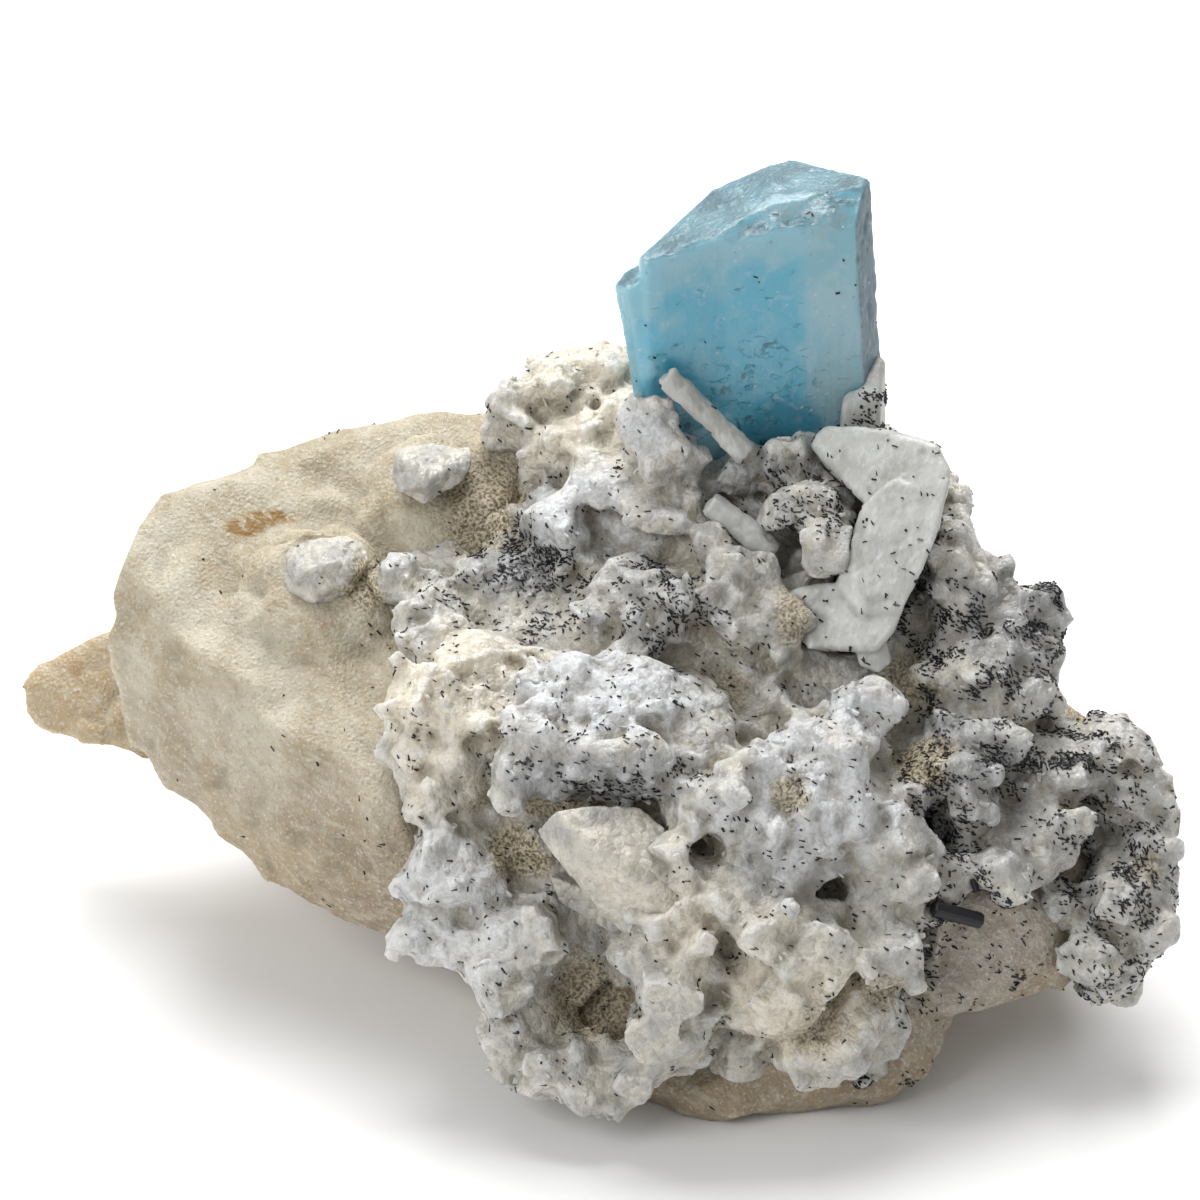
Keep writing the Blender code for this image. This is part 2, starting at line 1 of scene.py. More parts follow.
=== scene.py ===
"""Looks of an aquamarine crystal on its rock: grown rock skins, crystal materials and a studio.

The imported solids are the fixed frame. Finer skins of the same shape replace the two rock solids,
broken on the quartz and knobbed on the albite. The aquamarine and the albite crystals are worn
and etched copies of theirs. Geometry Nodes scatter some twelve thousand black schorl needles and
a few hundred small albite crystals over the rock.
"""

import itertools
import random

import bmesh
import bpy
import numpy as np
from bpy.props import FloatProperty, FloatVectorProperty, IntProperty, PointerProperty
from mathutils import Euler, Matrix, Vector
from mathutils.bvhtree import BVHTree


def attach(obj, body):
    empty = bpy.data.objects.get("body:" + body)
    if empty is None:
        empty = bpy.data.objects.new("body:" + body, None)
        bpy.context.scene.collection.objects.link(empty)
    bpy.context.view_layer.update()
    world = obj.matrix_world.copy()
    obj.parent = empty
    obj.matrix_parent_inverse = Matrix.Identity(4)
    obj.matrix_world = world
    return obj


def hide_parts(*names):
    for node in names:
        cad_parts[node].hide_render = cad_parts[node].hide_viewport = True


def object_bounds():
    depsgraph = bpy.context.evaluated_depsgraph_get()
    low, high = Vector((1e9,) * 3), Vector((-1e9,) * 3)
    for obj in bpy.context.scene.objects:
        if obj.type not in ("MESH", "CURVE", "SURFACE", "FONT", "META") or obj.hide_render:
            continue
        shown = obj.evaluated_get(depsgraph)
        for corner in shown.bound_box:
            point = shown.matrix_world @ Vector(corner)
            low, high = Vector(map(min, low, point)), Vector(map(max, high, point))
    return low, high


bl_info = {
    "name": "Aquamarine specimen",
    "version": (1, 0, 0),
    "blender": (4, 5, 0),
    "location": "View3D > Sidebar > Specimen",
    "description": "Builds the looks of an aquamarine crystal on albite and quartz",
    "category": "Object",
}

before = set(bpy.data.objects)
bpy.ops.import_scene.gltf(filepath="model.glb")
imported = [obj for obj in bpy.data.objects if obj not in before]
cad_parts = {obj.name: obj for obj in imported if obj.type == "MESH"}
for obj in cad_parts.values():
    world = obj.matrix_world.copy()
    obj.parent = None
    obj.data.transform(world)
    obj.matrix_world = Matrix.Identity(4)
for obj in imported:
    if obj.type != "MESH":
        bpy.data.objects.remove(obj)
CAD_BOX = [list(corner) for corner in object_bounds()]

MM = 0.001  # the tables are in millimetres, and Blender's own unit is the metre
MATH, VECTOR, MIX = "ShaderNodeMath", "ShaderNodeVectorMath", "ShaderNodeMix"
NOISE, VORONOI, RANGE = "ShaderNodeTexNoise", "ShaderNodeTexVoronoi", "ShaderNodeMapRange"
ATTRIBUTE, RANDOM = "GeometryNodeInputNamedAttribute", "FunctionNodeRandomValue"


# ---------------------------------------------------------------- colours and small helpers


def linear(hex_colour):
    """An sRGB hex colour as linear red, green, blue and alpha."""
    channels = [int(hex_colour[i:i + 2], 16) / 255 for i in (1, 3, 5)]
    return [c / 12.92 if c <= 0.04045 else ((c + 0.055) / 1.055) ** 2.4 for c in channels] + [1.0]


def per_mm(size):
    """Texture scale that draws one cell or wave of this many millimetres."""
    return 1 / (size * MM)


def add_node(tree, kind, inputs=None, **settings):
    """Adds a node. Inputs maps a live socket's name or number to a value, a node or an output."""
    node = tree.nodes.new(kind)
    for name, value in settings.items():
        setattr(node, name, value)
    live = [socket for socket in node.inputs if socket.enabled]
    for key, value in (inputs or {}).items():
        named = [socket for socket in live if socket.name == key]
        socket = named[0] if named else live[key]
        if isinstance(value, bpy.types.Node):
            value = next(output for output in value.outputs if output.enabled)
        if isinstance(value, bpy.types.NodeSocket):
            tree.links.new(value, socket)
        else:
            socket.default_value = value
    return node


def colour(name, hex_colour, description):
    """A colour that the user can change."""
    return FloatVectorProperty(
        name=name, description=description, subtype="COLOR", size=4, min=0, max=1,
        default=linear(hex_colour),
    )


def length(name, mm, description):
    """A length that the user can change, given here in millimetres."""
    return FloatProperty(
        name=name, description=description, default=mm * MM, min=0, unit="LENGTH", precision=5
    )


def amount(name, value, description):
    """A number from 0 up that the user can change."""
    return FloatProperty(name=name, description=description, default=value, min=0)


# ---------------------------------------------------------------- sizes and colours to change


class RockLooks(bpy.types.PropertyGroup):
    quartz_grid: length("Quartz grid", 0.42, "Size of the faces of the quartz skin")
    crust_grid: length("Crust grid", 0.41, "Size of the faces of the albite crust")
    block_size: length("Block size", 2.4, "Width of the larger crystals of the crust")
    block_height: length("Block height", 0.16, "How far the faces of the crust stand in and out")
    grain_size: length("Grain size", 0.9, "Width of the small grains on the crystals")
    grain_height: length("Grain height", 0.07, "Height of the grains")
    druse_per_cm2: amount(
        "Druse per square centimetre", 10, "Small crystals grown over the crust"
    )
    druse_length: length("Druse length", 2.1, "Length of a middling crystal of the druse")
    druse_width: length("Druse width", 2.8, "Width of a middling crystal of the druse")
    quartz: colour("Quartz", "#a99d84", "Cream quartz of the main mass")
    quartz_pale: colour("Pale quartz", "#c6bfac", "Clearer streaks in the quartz")
    quartz_warm: colour("Warm quartz", "#b39f7e", "Honey-coloured quartz of the spur")
    # Darker towards the bottom: partly the quartz's own browner tone, partly painted shade.
    low_quartz_and_shade: colour("Low quartz", "#94826a", "Browner quartz low on the flanks")
    quartz_fleck: colour("Quartz flecks", "#d9d6cd", "White flecks in the quartz")
    quartz_speck: colour("Quartz specks", "#8a7a62", "Brown specks in the quartz")
    bare_quartz: colour("Bare quartz", "#a39a91", "Pinkish grey quartz under the crust")
    albite: colour("Albite", "#c2bfb7", "White albite of the crust")
    albite_cream: colour("Cream albite", "#dfd7c6", "Warmer albite of the lobes")
    # Also a painted highlight on the ridges of the crust, and painted light on its front lobe and on
    # the sheet over the hollow.
    albite_snow_and_highlight: colour("Snowy albite", "#d8dadc", "Cold white albite of the crests")
    # Also laid as painted shade on the ledge under the right knobs.
    albite_grey: colour("Grey albite", "#969695", "Clearer, greyer albite of the right side")
    clay: colour("Clay", "#cfc3a8", "Tan granular clay held in the pockets")
    clay_gap: colour("Clay gaps", "#6f6350", "Shade between the grains of the clay")
    # Partly dirt and partly painted shade: the quartz and the crust lay this colour in their creases,
    # and the crust also in its deep recesses.
    crease: colour("Crease", "#8f8570", "Dirt held in the creases")
    iron: colour("Iron stain", "#8f6f38", "Rusty stain on the quartz")


class BerylLooks(bpy.types.PropertyGroup):
    grid: length("Grid", 0.3, "Size of the faces of the crystal")
    etch: length("Etch depth", 0.16, "Depth of the etched pits of the top face")
    heart: colour("Heart", "#60b7d1", "Blue of the middle of the front face")
    skin: colour("Skin", "#8fc3d1", "Paler blue of the outer faces")
    top: colour("Top", "#4d6974", "Grey-blue of the etched top face")
    deep: colour("Deep", "#409bb8", "Dark teal near the foot")
    veil: colour("Veil", "#bdd3da", "Healed cracks and bright flecks")
    # Painted shade: the right face is coloured darker than the other faces.
    side: colour("Side", "#445c6a", "Grey-blue of the right face")
    rim: colour("Rim", "#a6c3cc", "Worn edges between the faces")
    # Its bright flecks are painted glints; the healed cracks are the crystal's own.
    frost: colour("Frost", "#a3bec6", "Frosty patches of the top")
    pit: colour("Pits", "#1f5468", "Dark teal pits near the foot")
    soaked: colour("Soaked light", "#93c9d9", "Colour that light takes on inside the crystal")
    density: amount("Density", 50, "Strength of the blue over depth")


class CrystalLooks(bpy.types.PropertyGroup):
    grid: length("Grid", 0.24, "Size of the faces of the albite crystals")
    wear: length("Wear", 0.12, "Depth of the growth marks on the faces")
    albite: colour("Albite", "#bcbdb9", "White, slightly clear albite")
    albite_shade: colour("Shaded albite", "#a09f99", "Greyer zones inside the crystals")
    # Partly dust and partly painted shade, laid in the corners and creases.
    milk: colour("Milky albite", "#dfe1e0", "Whiter growth lines")
    dust_and_shade: colour("Dust", "#8d8574", "Dust in the corners")


class NeedleLooks(bpy.types.PropertyGroup):
    seed: IntProperty(name="Seed", description="Changes where the needles fall", default=7)
    per_cm2: amount("Needles per square centimetre", 420, "Where the table of needles says 1")
    needle: length("Needle length", 0.37, "Length of a middling needle")
    thickness: length("Needle thickness", 0.26, "Thickness of a middling needle")
    grains_per_cm2: amount(
        "Grains per square centimetre", 8, "Small albite crystals on the crust"
    )
    grain: length("Grain", 0.8, "Size of a middling albite grain")
    black: colour("Schorl", "#0f1013", "Black tourmaline")
    groove: colour("Schorl grooves", "#1d1e23", "Lighter grooves along the prisms")


class StageLooks(bpy.types.PropertyGroup):
    floor: colour("Floor", "#f4f4f4", "Matt white table")
    key: amount("Key light", 3.6, "Power of the lamps")
    fill: amount("Fill light", 0.37, "Brightness of the white room")


# ---------------------------------------------------------------- where the rock changes

# Soft-edged patches on the rock: name, centre, half sizes, and how strong. In millimetres.
CLAY = [
    ("by the upper lump", (-11, 13.5, 40), (5, 6, 4.4), 1),
    ("by the left lump", (-21.5, 4, 37), (2.4, 3.6, 2.6), 1),
    ("under the elbow", (17, -6, 40), (1.8, 4, 2.6), 0.8),
    ("at the heel", (27.5, -5, 33), (3.1, 5, 1.6), 0.8),
    ("on the shelf", (28.5, -14.5, 30), (2.6, 3, 2), 1),
    ("on the snow bank", (16.5, -20, 30.5), (2, 3, 1.7), 0.9),
    ("under the crest", (-5, -16.5, 26.5), (5.4, 4, 1.3), 0.9),
    ("in the right lobe", (24.5, -26, 14), (2.2, 3.5, 3), 0.7),
    ("at the right back", (42.5, 4.5, 24), (3, 6, 2.5), 1),
    ("above the front lobe", (-7, -17, 22.5), (2.6, 4, 2.4), 1),
    ("in the front cavity", (-1, -22, 9), (3.6, 6, 5.5), 0.9),
    ("by the specked mass", (12, -8, 33.5), (1.6, 3, 1.6), 0.6),
    ("at the far edge", (49, -14, 18.5), (1.5, 3, 1.6), 0.6),
    ("face of the right lobe", (17.5, -28, 13), (4.4, 4, 4), 0.7),
]
SNOW = [
    ("crest", (0, -13.5, 36.5), (9, 6, 3), 1),
    ("crest flank left", (-3.5, -17.5, 33), (5.6, 5, 3.2), 0.25),
    ("crest flank right", (4.5, -19, 32.5), (4.8, 5, 3), 0.2),
    ("spine high", (23.5, -13, 34), (4.2, 4, 2.2), 1),
    ("spine middle", (17.5, -17.5, 32.5), (5.6, 5, 2.8), 0.9),
    ("snow bank", (21.5, -20, 29), (4.8, 5, 4.2), 0.9),
    ("spine foot", (13.5, -21.5, 30), (4.6, 4, 2.6), 0.8),
    ("snow ledge", (16.5, -24, 26), (4.6, 4, 2.2), 0.6),
    # Painted light: the front lobe and the sheet over the hollow lie in shade, and are whitened here.
    ("front lobe", (-12, -21, 18), (7, 6, 8), 0.8),
    ("sheet over the hollow", (0, 7, 43), (6.5, 6, 4), 0.9),
    ("at the foot of the beryl", (4.6, 6.8, 52), (3, 3, 3), 1),
]
CREAM = [
    ("cream lobe", (-14, -12, 34), (6, 7, 6), 1),
    ("lobe crown", (-11.5, -8, 36.5), (5, 5, 3), 0.9),
    ("cream lobe foot", (-12.5, -15.5, 28), (4.4, 5, 4.2), 0.6),
    ("back mound", (-2, 18, 49), (7, 9, 6), 1),
    ("foot of the mound", (1.5, 12, 47.5), (3.4, 4, 2.6), 0.7),
    ("right lobe", (17.5, -28, 14), (6, 6, 6), 1),
    ("bridge", (14, -27, 20), (4.6, 5, 3.4), 0.6),
    ("front foot", (9, -27, 3.5), (5, 5, 2.5), 0.7),
    ("curved plate", (3, -24, 25), (6, 5, 5), 0.45),
    ("right of the curved plate", (8, -26, 21), (4, 5, 4), 0.8),
    ("back slope", (28, 14, 40), (7, 9, 8), 0.5),
    ("front lobe", (-11, -21, 17), (6, 5, 8), 0.4),
]
GREY = [
    ("far side", (45, -11, 18), (8, 11, 12), 0.3),
    ("right knob", (37.5, -2, 36), (5.5, 7, 5.6), 0.8),
    ("inner bank", (33, -15, 26), (6, 7, 6), 0.7),
    ("hollow", (-7.5, 5, 40), (4.6, 5, 3.6), 1),
    ("under the beryl", (15.5, 7, 47), (6, 5, 3), 0.7),
    ("mid terrace", (4.5, -5, 41), (6.5, 6, 4), 0.5),
    ("crest flank", (0, -18, 31), (9, 5, 3), 1),
    # Painted shade: grey laid on the ledge under the right knobs, which lies in shade.
    ("under the right knobs", (33, -12, 29), (6, 5, 4), 1),
    ("foot of the snow bank", (17, -24, 25), (5, 4, 3), 0.6),
]
BARE = [
    ("under the right knobs", (32, -19, 15), (8, 8, 9), 1),
    ("floor of the slot", (26, -24, 12), (4, 6, 5), 0.8),
]
SPUR = [
    ("spur", (-50, 17, 19), (9, 9, 8), 1),
    ("under the shoulder", (-30, 2, 14), (14, 12, 5), 0.5),
]
IRON = [
    ("rusty seam", (-32.8, 10.8, 40), (2.3, 1, 1.2), 1.4),
    ("rusty tail", (-30.3, 12, 39.6), (2.8, 0.8, 1.1), 1.1),
    ("spur mark", (-49.5, 15, 21.5), (0.9, 2, 0.6), 0.6),
]
# How thickly the needles lie, over the number per square centimetre in the panel.
NEEDLES = [
    ("everywhere on the crust", (14, -4, 28), (44, 40, 34), 0.13),
    ("hollow", (-7, 4.5, 39.5), (4.2, 4, 3), 2.4),
    ("right of the hollow", (-3, 1, 37.5), (5.4, 5, 3), 1.6),
    ("specked mass", (4.5, -5, 41), (5, 5, 3.6), 1.5),
    ("left of the foot", (5, 7.5, 48), (3.5, 3, 2), 1.2),
    ("under the beryl", (16, 8.5, 48), (3.6, 3, 1.8), 3),
    ("bench", (18, 4, 46), (6, 5, 3), 1.3),
    ("behind the elbow", (29.5, -1.5, 38), (2.8, 5, 6.4), 2.2),
    ("slope by the elbow", (32.5, -6, 36), (3.6, 4.5, 4.4), 2.4),
    ("inner right knob", (36, -2.5, 38.5), (3.4, 4, 3), 1.2),
    ("right knob", (40, -1, 36.5), (2.4, 4, 4), 3),
    ("right slope", (34.5, -8, 32.5), (6, 6, 4), 1.8),
    ("far bank", (41.5, -10, 28), (4.4, 4, 2.8), 3.4),
    ("far side", (46, -13, 20), (6, 8, 10), 0.9),
    ("far knob", (48, -14.5, 18), (2.8, 4, 5.4), 1.6),
    ("far foot", (44.5, -19.5, 10), (4, 4, 3.4), 1),
    ("stubs", (29, -16.5, 27), (3, 4, 3.4), 1.8),
    ("slot", (30, -18, 22), (3, 4, 3), 2.2),
    ("floor of the slot", (31, -21, 15), (7, 6, 6), 2.6),
    ("front foot right", (26, -25, 3.5), (3.6, 4, 2), 2.4),
    ("pyramid", (-14.5, 1.5, 38), (3, 4, 4.4), 0.6),
    ("quartz by the crust", (-18, 1, 33), (4, 6, 6), 0.35),
    ("block behind the beryl", (24.5, 13, 50), (3, 4, 2.6), 2),
    ("crest", (0, -14, 35), (9, 6, 4), 0.35),
    ("crest flank", (1, -18, 31.5), (8, 5, 3.4), 0.8),
    # Painted shade: extra black needles darken the ledge under the right knobs.
    ("under the right knobs", (33, -12, 29), (5, 5, 4), 1.6),
    ("right third of the beryl", (21, 10, 60), (3.4, 4, 9), 0.12),
    ("spine", (19, -18, 31), (8, 6, 5), 0.2),
]
# How well each piece holds needles and grains, over what the patches give.
HOLDS = {
    "quartz_mass": (0.2, 0),
    "albite_knobs": (1, 1),
    "bent_albite": (0.9, 0),
    "albite_stub": (1, 0),
    "leaning_albite": (0.5, 0),
    "left_lump": (0.4, 0),
    "upper_lump": (0.3, 0),
    "aquamarine": (0.16, 0),
}
# How far the quartz rises round the albite lumps, which sit half buried in it.
RISES = [
    ("left lump", (-25.5, 4.5, 36), (6.5, 6, 5), 2.2),
    ("upper lump", (-15.5, 12.5, 41.5), (6, 6, 5), 2.4),
    ("by the upper lump", (-10, 14.5, 39.5), (4, 5, 5), 2.6),
]
# Blocky knobs that stand on the crust, by place: centre and radius. In millimetres.
KNOBS = {
    "back mound": [
        (0.5, 19, 51, 2.4), (-3.5, 18, 49.5, 2.3), (-7.5, 17, 48, 2.1), (3, 14.5, 50.5, 1.7),
        (2, 12, 47, 1.8), (-1, 13, 48, 1.7), (5, 5.5, 49, 1.5), (-3.5, 13, 47.5, 1.8),
    ],
    "bench under the beryl": [
        (4.4, 7, 51.2, 1.6), (4.9, 6.6, 53.2, 1.2), (13, 7, 46.5, 1.7), (16.5, 6.5, 48.5, 1.6),
        (19.5, 9.5, 47.5, 1.5), (16.5, 2, 46.5, 1.8), (19, 2.5, 46.5, 1.8), (14.5, 7.5, 43, 1),
        (20.5, -1.5, 44.5, 2.2), (19, 0.5, 39.5, 1.4),
    ],
    "terrace": [
        (10, 0, 43.5, 1.6), (10.5, -3, 41.5, 1.7), (12, -5, 40, 1.3), (0, -4, 38.5, 1.7),
        (3.5, -3.5, 41, 1.7), (7, -4.5, 40, 1.8), (4, -6.5, 37.5, 1.8), (8.5, -4.5, 36.5, 1.5),
    ],
    "left string": [
        (-18.5, 3.5, 37.5, 1.8), (-15.5, 0, 37.5, 1.6), (-14, 7.5, 36.5, 2), (-16, -3, 35.5, 1.6),
        (-13.5, -1.5, 35.5, 1.7),
    ],
    "cream lobe": [
        (-11.5, -8, 35.5, 2.5), (-15.5, -11, 34, 2.8), (-12, -12, 33, 2.8), (-16, -13.5, 30.5, 2.2),
        (-12.5, -14, 29.5, 2.5), (-8.5, -9, 33, 2.3), (-14.5, -16, 27, 2.1),
    ],
    "crest": [
        (-4, -12.5, 35, 1.9), (-1.5, -11.5, 36.5, 1.9), (2, -10, 36.5, 1.6), (4.5, -11.5, 36.5, 1.7),
        (1, -13.5, 35, 2.4), (5.5, -14.5, 34.5, 2), (-5.5, -15.5, 33, 2.2), (-1, -17, 32, 2.5),
        (3.5, -18.5, 32.5, 2.4), (8, -17, 31.5, 2.1), (-7, -17.5, 30, 2.2),
    ],
    "spine": [
        (24.5, -12, 34.5, 1.5), (22, -13, 34, 1.6), (19.5, -15.5, 33, 1.8), (16.5, -16, 32, 1.9),
        (13, -19, 31, 2), (10.5, -21.5, 30.5, 2), (21, -17.5, 31, 2.6), (17.5, -19, 29, 2.5),
        (22.5, -19.5, 27.5, 2.5), (15.5, -21.5, 26.5, 2.1), (12, -21.5, 27, 2),
    ],
    "stubs": [
        (27, -16, 27, 2.1), (30, -12.5, 22.5, 2.3), (26.5, -20, 25, 2), (32.5, -15, 27, 2),
        (27.5, -21.5, 22, 2.1), (33, -12, 30, 1.5), (35.5, -12, 30, 1.6), (32, -14.5, 29, 1.8),
        (35.5, -18.5, 21, 2.4),
    ],
    "right knobs": [
        (39.5, 0, 37, 2), (36, 0.5, 39, 1.8), (37, -3, 35.5, 2.8), (34.5, -6, 34.5, 2.4),
        (31.5, 0, 42, 2), (34, -7, 31.5, 2.4), (38, -7, 31.5, 2.4), (40, -2.5, 33.5, 1.8),
    ],
    "far side": [
        (46, -7.5, 27, 2.4), (48.5, -9, 23.5, 2.3), (45, -7, 21.5, 2.7), (49.5, -11.5, 18.5, 2.3),
        (46.5, -15.5, 16, 2.7), (49, -16.5, 13.5, 2.3), (44, -19, 12, 2.7), (41, -13.5, 22, 2.7),
        (41, -15, 15.5, 2.5),
    ],
    "front lobe": [
        (-14, -19.5, 21.5, 2.8), (-15.5, -20, 16.5, 2.4), (-10.5, -19.5, 21, 2.6),
        (-12, -21.5, 15.5, 2.5), (-5.5, -23.5, 17, 2.7), (-8.5, -25, 13.5, 2.4), (-8, -26, 8, 2.3),
        (-5, -29, 6.5, 2.1), (-1.5, -30.5, 5.5, 1.9),
    ],
    "front pillar and bridge": [
        (3.5, -27, 17.5, 2.4), (6, -30, 16, 2.5), (8, -28, 19, 1.9), (5, -31, 12, 2.2),
        (8.5, -23, 23, 2.1), (11.5, -26.5, 22.5, 2), (8, -26, 21.5, 1.6), (6.2, -23.8, 26.8, 1.3),
        (7.2, -24.8, 24.6, 1.4), (8.8, -26.2, 22.6, 1.2), (4.6, -27, 21.2, 1.2),
    ],
    "right lobe": [
        (15, -26.5, 20.5, 2.9), (19, -27.5, 18, 3.2), (16.5, -28.5, 14, 3), (22, -26, 11.5, 2.9),
        (20, -28.5, 8.5, 2.7), (25, -25, 17, 2.8), (24.5, -24.5, 10.5, 2.5), (12.5, -25, 6, 2.7),
        (24, -24.5, 5, 2.2),
    ],
}
# Flat blades set in the crust: name, one end, the other end, width and thickness.
BLADES = [
    ("over the hollow", (-6, 11, 42.5), (-1.5, 4.5, 41), 2.2, 1.6),
    ("left of the plate", (-3.5, 3.5, 44), (-2.5, 4, 40), 1.8, 1.6),
    ("plate", (-1, 9, 43), (6, 3.5, 41), 2.3, 2),
    ("sheet", (-3, 12, 44), (9, 3.5, 45.5), 3.1, 1.8),
    ("edge of the sheet", (3.5, 2.5, 45), (8, 1.5, 45), 2.2, 1.6),
    ("clear facet", (-14, 7.5, 37.5), (-10.5, 3, 39), 1.8, 1.5),
    ("roof of the slot", (29, -16, 30), (36.5, -12, 30), 1.4, 1.6),
    ("right slab", (32, 5, 44.5), (34.5, -2, 40), 2, 1.6),
]
# Corners of the angular lumps and of the shell-like plate, which their solids round off, and of
# the ridge that runs up the bent crystal.
ANGULAR = {
    "bent_albite_crystal": [
        (23.4, -1, 48.4), (24.8, -0.6, 49.6), (26, 0, 50.5), (28, -1, 50), (29, -2.8, 48),
        (28.4, -4.4, 46), (26.4, -6.8, 42.4), (23.6, -6.6, 42), (22, -2.7, 43.6), (22.5, -0.8, 45.2),
        (26, 1, 46), (24.5, -2, 41),
    ],
    "albite_lump_left": [
        (-29.4, 6, 37), (-28.5, 7, 39), (-26.5, 7.5, 40), (-23.5, 7.5, 40.5), (-21.5, 7, 40),
        (-21, 5.5, 39), (-22.5, 3, 37.5), (-26, 2, 37), (-28.5, 3.5, 36.5), (-27, 2.5, 39.5),
        (-24, 2.5, 40.5), (-22.5, 2.5, 39), (-28.5, 8, 35.5), (-22, 8, 36), (-25, 8, 34),
        (-25, 3, 34.5),
    ],
    "albite_lump_upper": [
        (-19, 11, 45), (-18.5, 12.5, 46.7), (-15.5, 13.5, 46.8), (-12, 13.5, 46.3),
        (-11.8, 12, 45.5), (-13, 10, 44.5), (-16, 9, 43), (-18.5, 9.5, 44), (-17, 10, 46.6),
        (-14.5, 9.5, 46.2), (-16, 8.5, 45.5), (-18, 15.5, 42.5), (-12.5, 15.5, 42.5),
    ],
    "curved_albite_plate": [
        (-5.6, -21.5, 27.2), (-3.8, -22.3, 29.7), (0, -22, 30), (3.5, -21, 29.2), (5.4, -22, 27.8),
        (5.6, -22.5, 25.8), (6.3, -23.5, 24.4), (8.7, -26.5, 22), (8.6, -28, 20.4), (6.6, -28, 19.2),
        (4, -27, 18.8), (1.8, -25.8, 19.6), (0, -25.3, 21.8),
        (-2.2, -24.3, 24), (-3.3, -23.5, 25.9), (0, -25.6, 27.6), (3.2, -25.7, 26.5),
        (3.6, -26.2, 22.5), (-3.5, -20, 26), (0, -18, 25), (4.5, -18.6, 23.5), (5.5, -24, 19.5),
    ],
    "under the curved plate": [
        (-4.4, -21.5, 22.5), (-1, -22.5, 21.5), (3.2, -24, 19), (3.6, -24.4, 17.6), (2, -23.8, 17.4),
        (-3.6, -22, 20.2), (-4, -19, 21.5), (2.5, -20, 17.8),
    ],
}
# The camera and the point that it looks at, in metres.
CAMERA_PLACE, CAMERA_AIM = (0, -0.36373, 0.248), (0, 0, 0.038)
# Lamps: name, place in metres, width in metres, and power over the key light's.
LAMPS = [
    ("softbox", (-0.34, -0.27, 0.34), 0.3, 0.36),
    ("top light", (-0.02, 0.24, 0.48), 0.35, 1),
]
LAMP_AIM = (0, 0, 0.03)


def hashed(cells, seed):
    """A repeatable number from 0 to 1 for each whole-numbered cell."""
    mixed = cells @ np.array([127.1, 311.7, 74.7]) + seed * 19.19
    return np.modf(np.abs(np.sin(mixed) * 43758.5453))[0]


def waves(points, size, seed):
    """Soft three-dimensional noise from -1 to 1, with waves of this size."""
    at = points / size
    low = np.floor(at)
    t = at - low
    t = t * t * (3 - 2 * t)
    total = np.zeros(len(points))
    for corner in np.ndindex(2, 2, 2):
        share = np.prod(np.where(np.array(corner) == 1, t, 1 - t), axis=1)
        total += share * hashed(low + corner, seed)
    return total * 2 - 1


def patch(points, spots, ragged=0.25, seed=1):
    """How much of a patch each point has: the strongest of the soft-edged spots over it."""
    edge = ragged * (waves(points, 2.2, seed) + 0.6 * waves(points, 0.9, seed + 5))
    weight = np.zeros(len(points))
    for _, centre, half, strength in spots:
        reach = np.linalg.norm((points - centre) / half, axis=1) + edge
        t = np.clip((1.3 - reach) / 0.6, 0, 1)
        weight = np.maximum(weight, strength * t * t * (3 - 2 * t))
    return weight


# ---------------------------------------------------------------- meshes


def link_new(name, data):
    """A new object in the scene that holds this mesh, lamp or camera."""
    obj = bpy.data.objects.new(name, data)
    bpy.context.scene.collection.objects.link(obj)
    return obj


def welded_copy(node, name):
    """A new object with the shape of a solid, its loose triangles joined at their corners."""
    bm = bmesh.new()
    bm.from_mesh(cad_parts[node].data)
    bmesh.ops.remove_doubles(bm, verts=bm.verts, dist=1e-6)
    mesh = bpy.data.meshes.new(name)
    bm.to_mesh(mesh)
    bm.free()
    return link_new(name, mesh)


def split_long_edges(obj, longest):
    """Cuts the faces of a mesh until its edges are this short, in millimetres."""
    bm = bmesh.new()
    bm.from_mesh(obj.data)
    for _ in range(4):
        long = [edge for edge in bm.edges if edge.calc_length() > longest * MM]
        if not long:
            break
        bmesh.ops.subdivide_edges(bm, edges=long, cuts=1)
        bmesh.ops.triangulate(bm, faces=bm.faces)
    bm.to_mesh(obj.data)
    bm.free()


def add_stone(bm, corners):
    """Adds the convex stone that has these corners, in metres."""
    made = [bm.verts.new(corner) for corner in corners]
    hull = bmesh.ops.convex_hull(bm, input=made)
    spare = set(hull["geom_interior"] + hull["geom_unused"])
    bmesh.ops.delete(bm, geom=[v for v in made if v in spare], context="VERTS")


def add_knobs(obj):
    """Adds the blocky knobs to the mesh of the crust."""
    bm = bmesh.new()
    bm.from_mesh(obj.data)
    dice = random.Random(5)
    for x, y, z, radius in sum(KNOBS.values(), []):
        # Each knob is two or three blocks, turned their own way and grown into each other.
        for block in range(3):
            reach = 1.05 if block == 0 else dice.uniform(0.55, 0.8)
            shift = [0 if block == 0 else dice.uniform(-0.6, 0.6) * radius for _ in range(3)]
            turn = Euler([dice.uniform(0, 6.3) for _ in range(3)]).to_matrix()
            half = Vector([dice.uniform(0.6, 0.95) * radius * reach for _ in range(3)])
            corners = []
            for sx, sy, sz in itertools.product((-1, 1), repeat=3):
                corner = Vector((sx * half.x, sy * half.y, sz * half.z))
                corners.append(corner * dice.uniform(0.8, 1.05))
            for axis in range(3):
                tip = Vector((0, 0, 0))
                tip[axis] = half[axis] * dice.choice((-1.25, 1.25))
                corners.append(tip)
            place = Vector((x, y, z)) + Vector(shift)
            add_stone(bm, [(place + turn @ corner) * MM for corner in corners])
    bm.to_mesh(obj.data)
    bm.free()


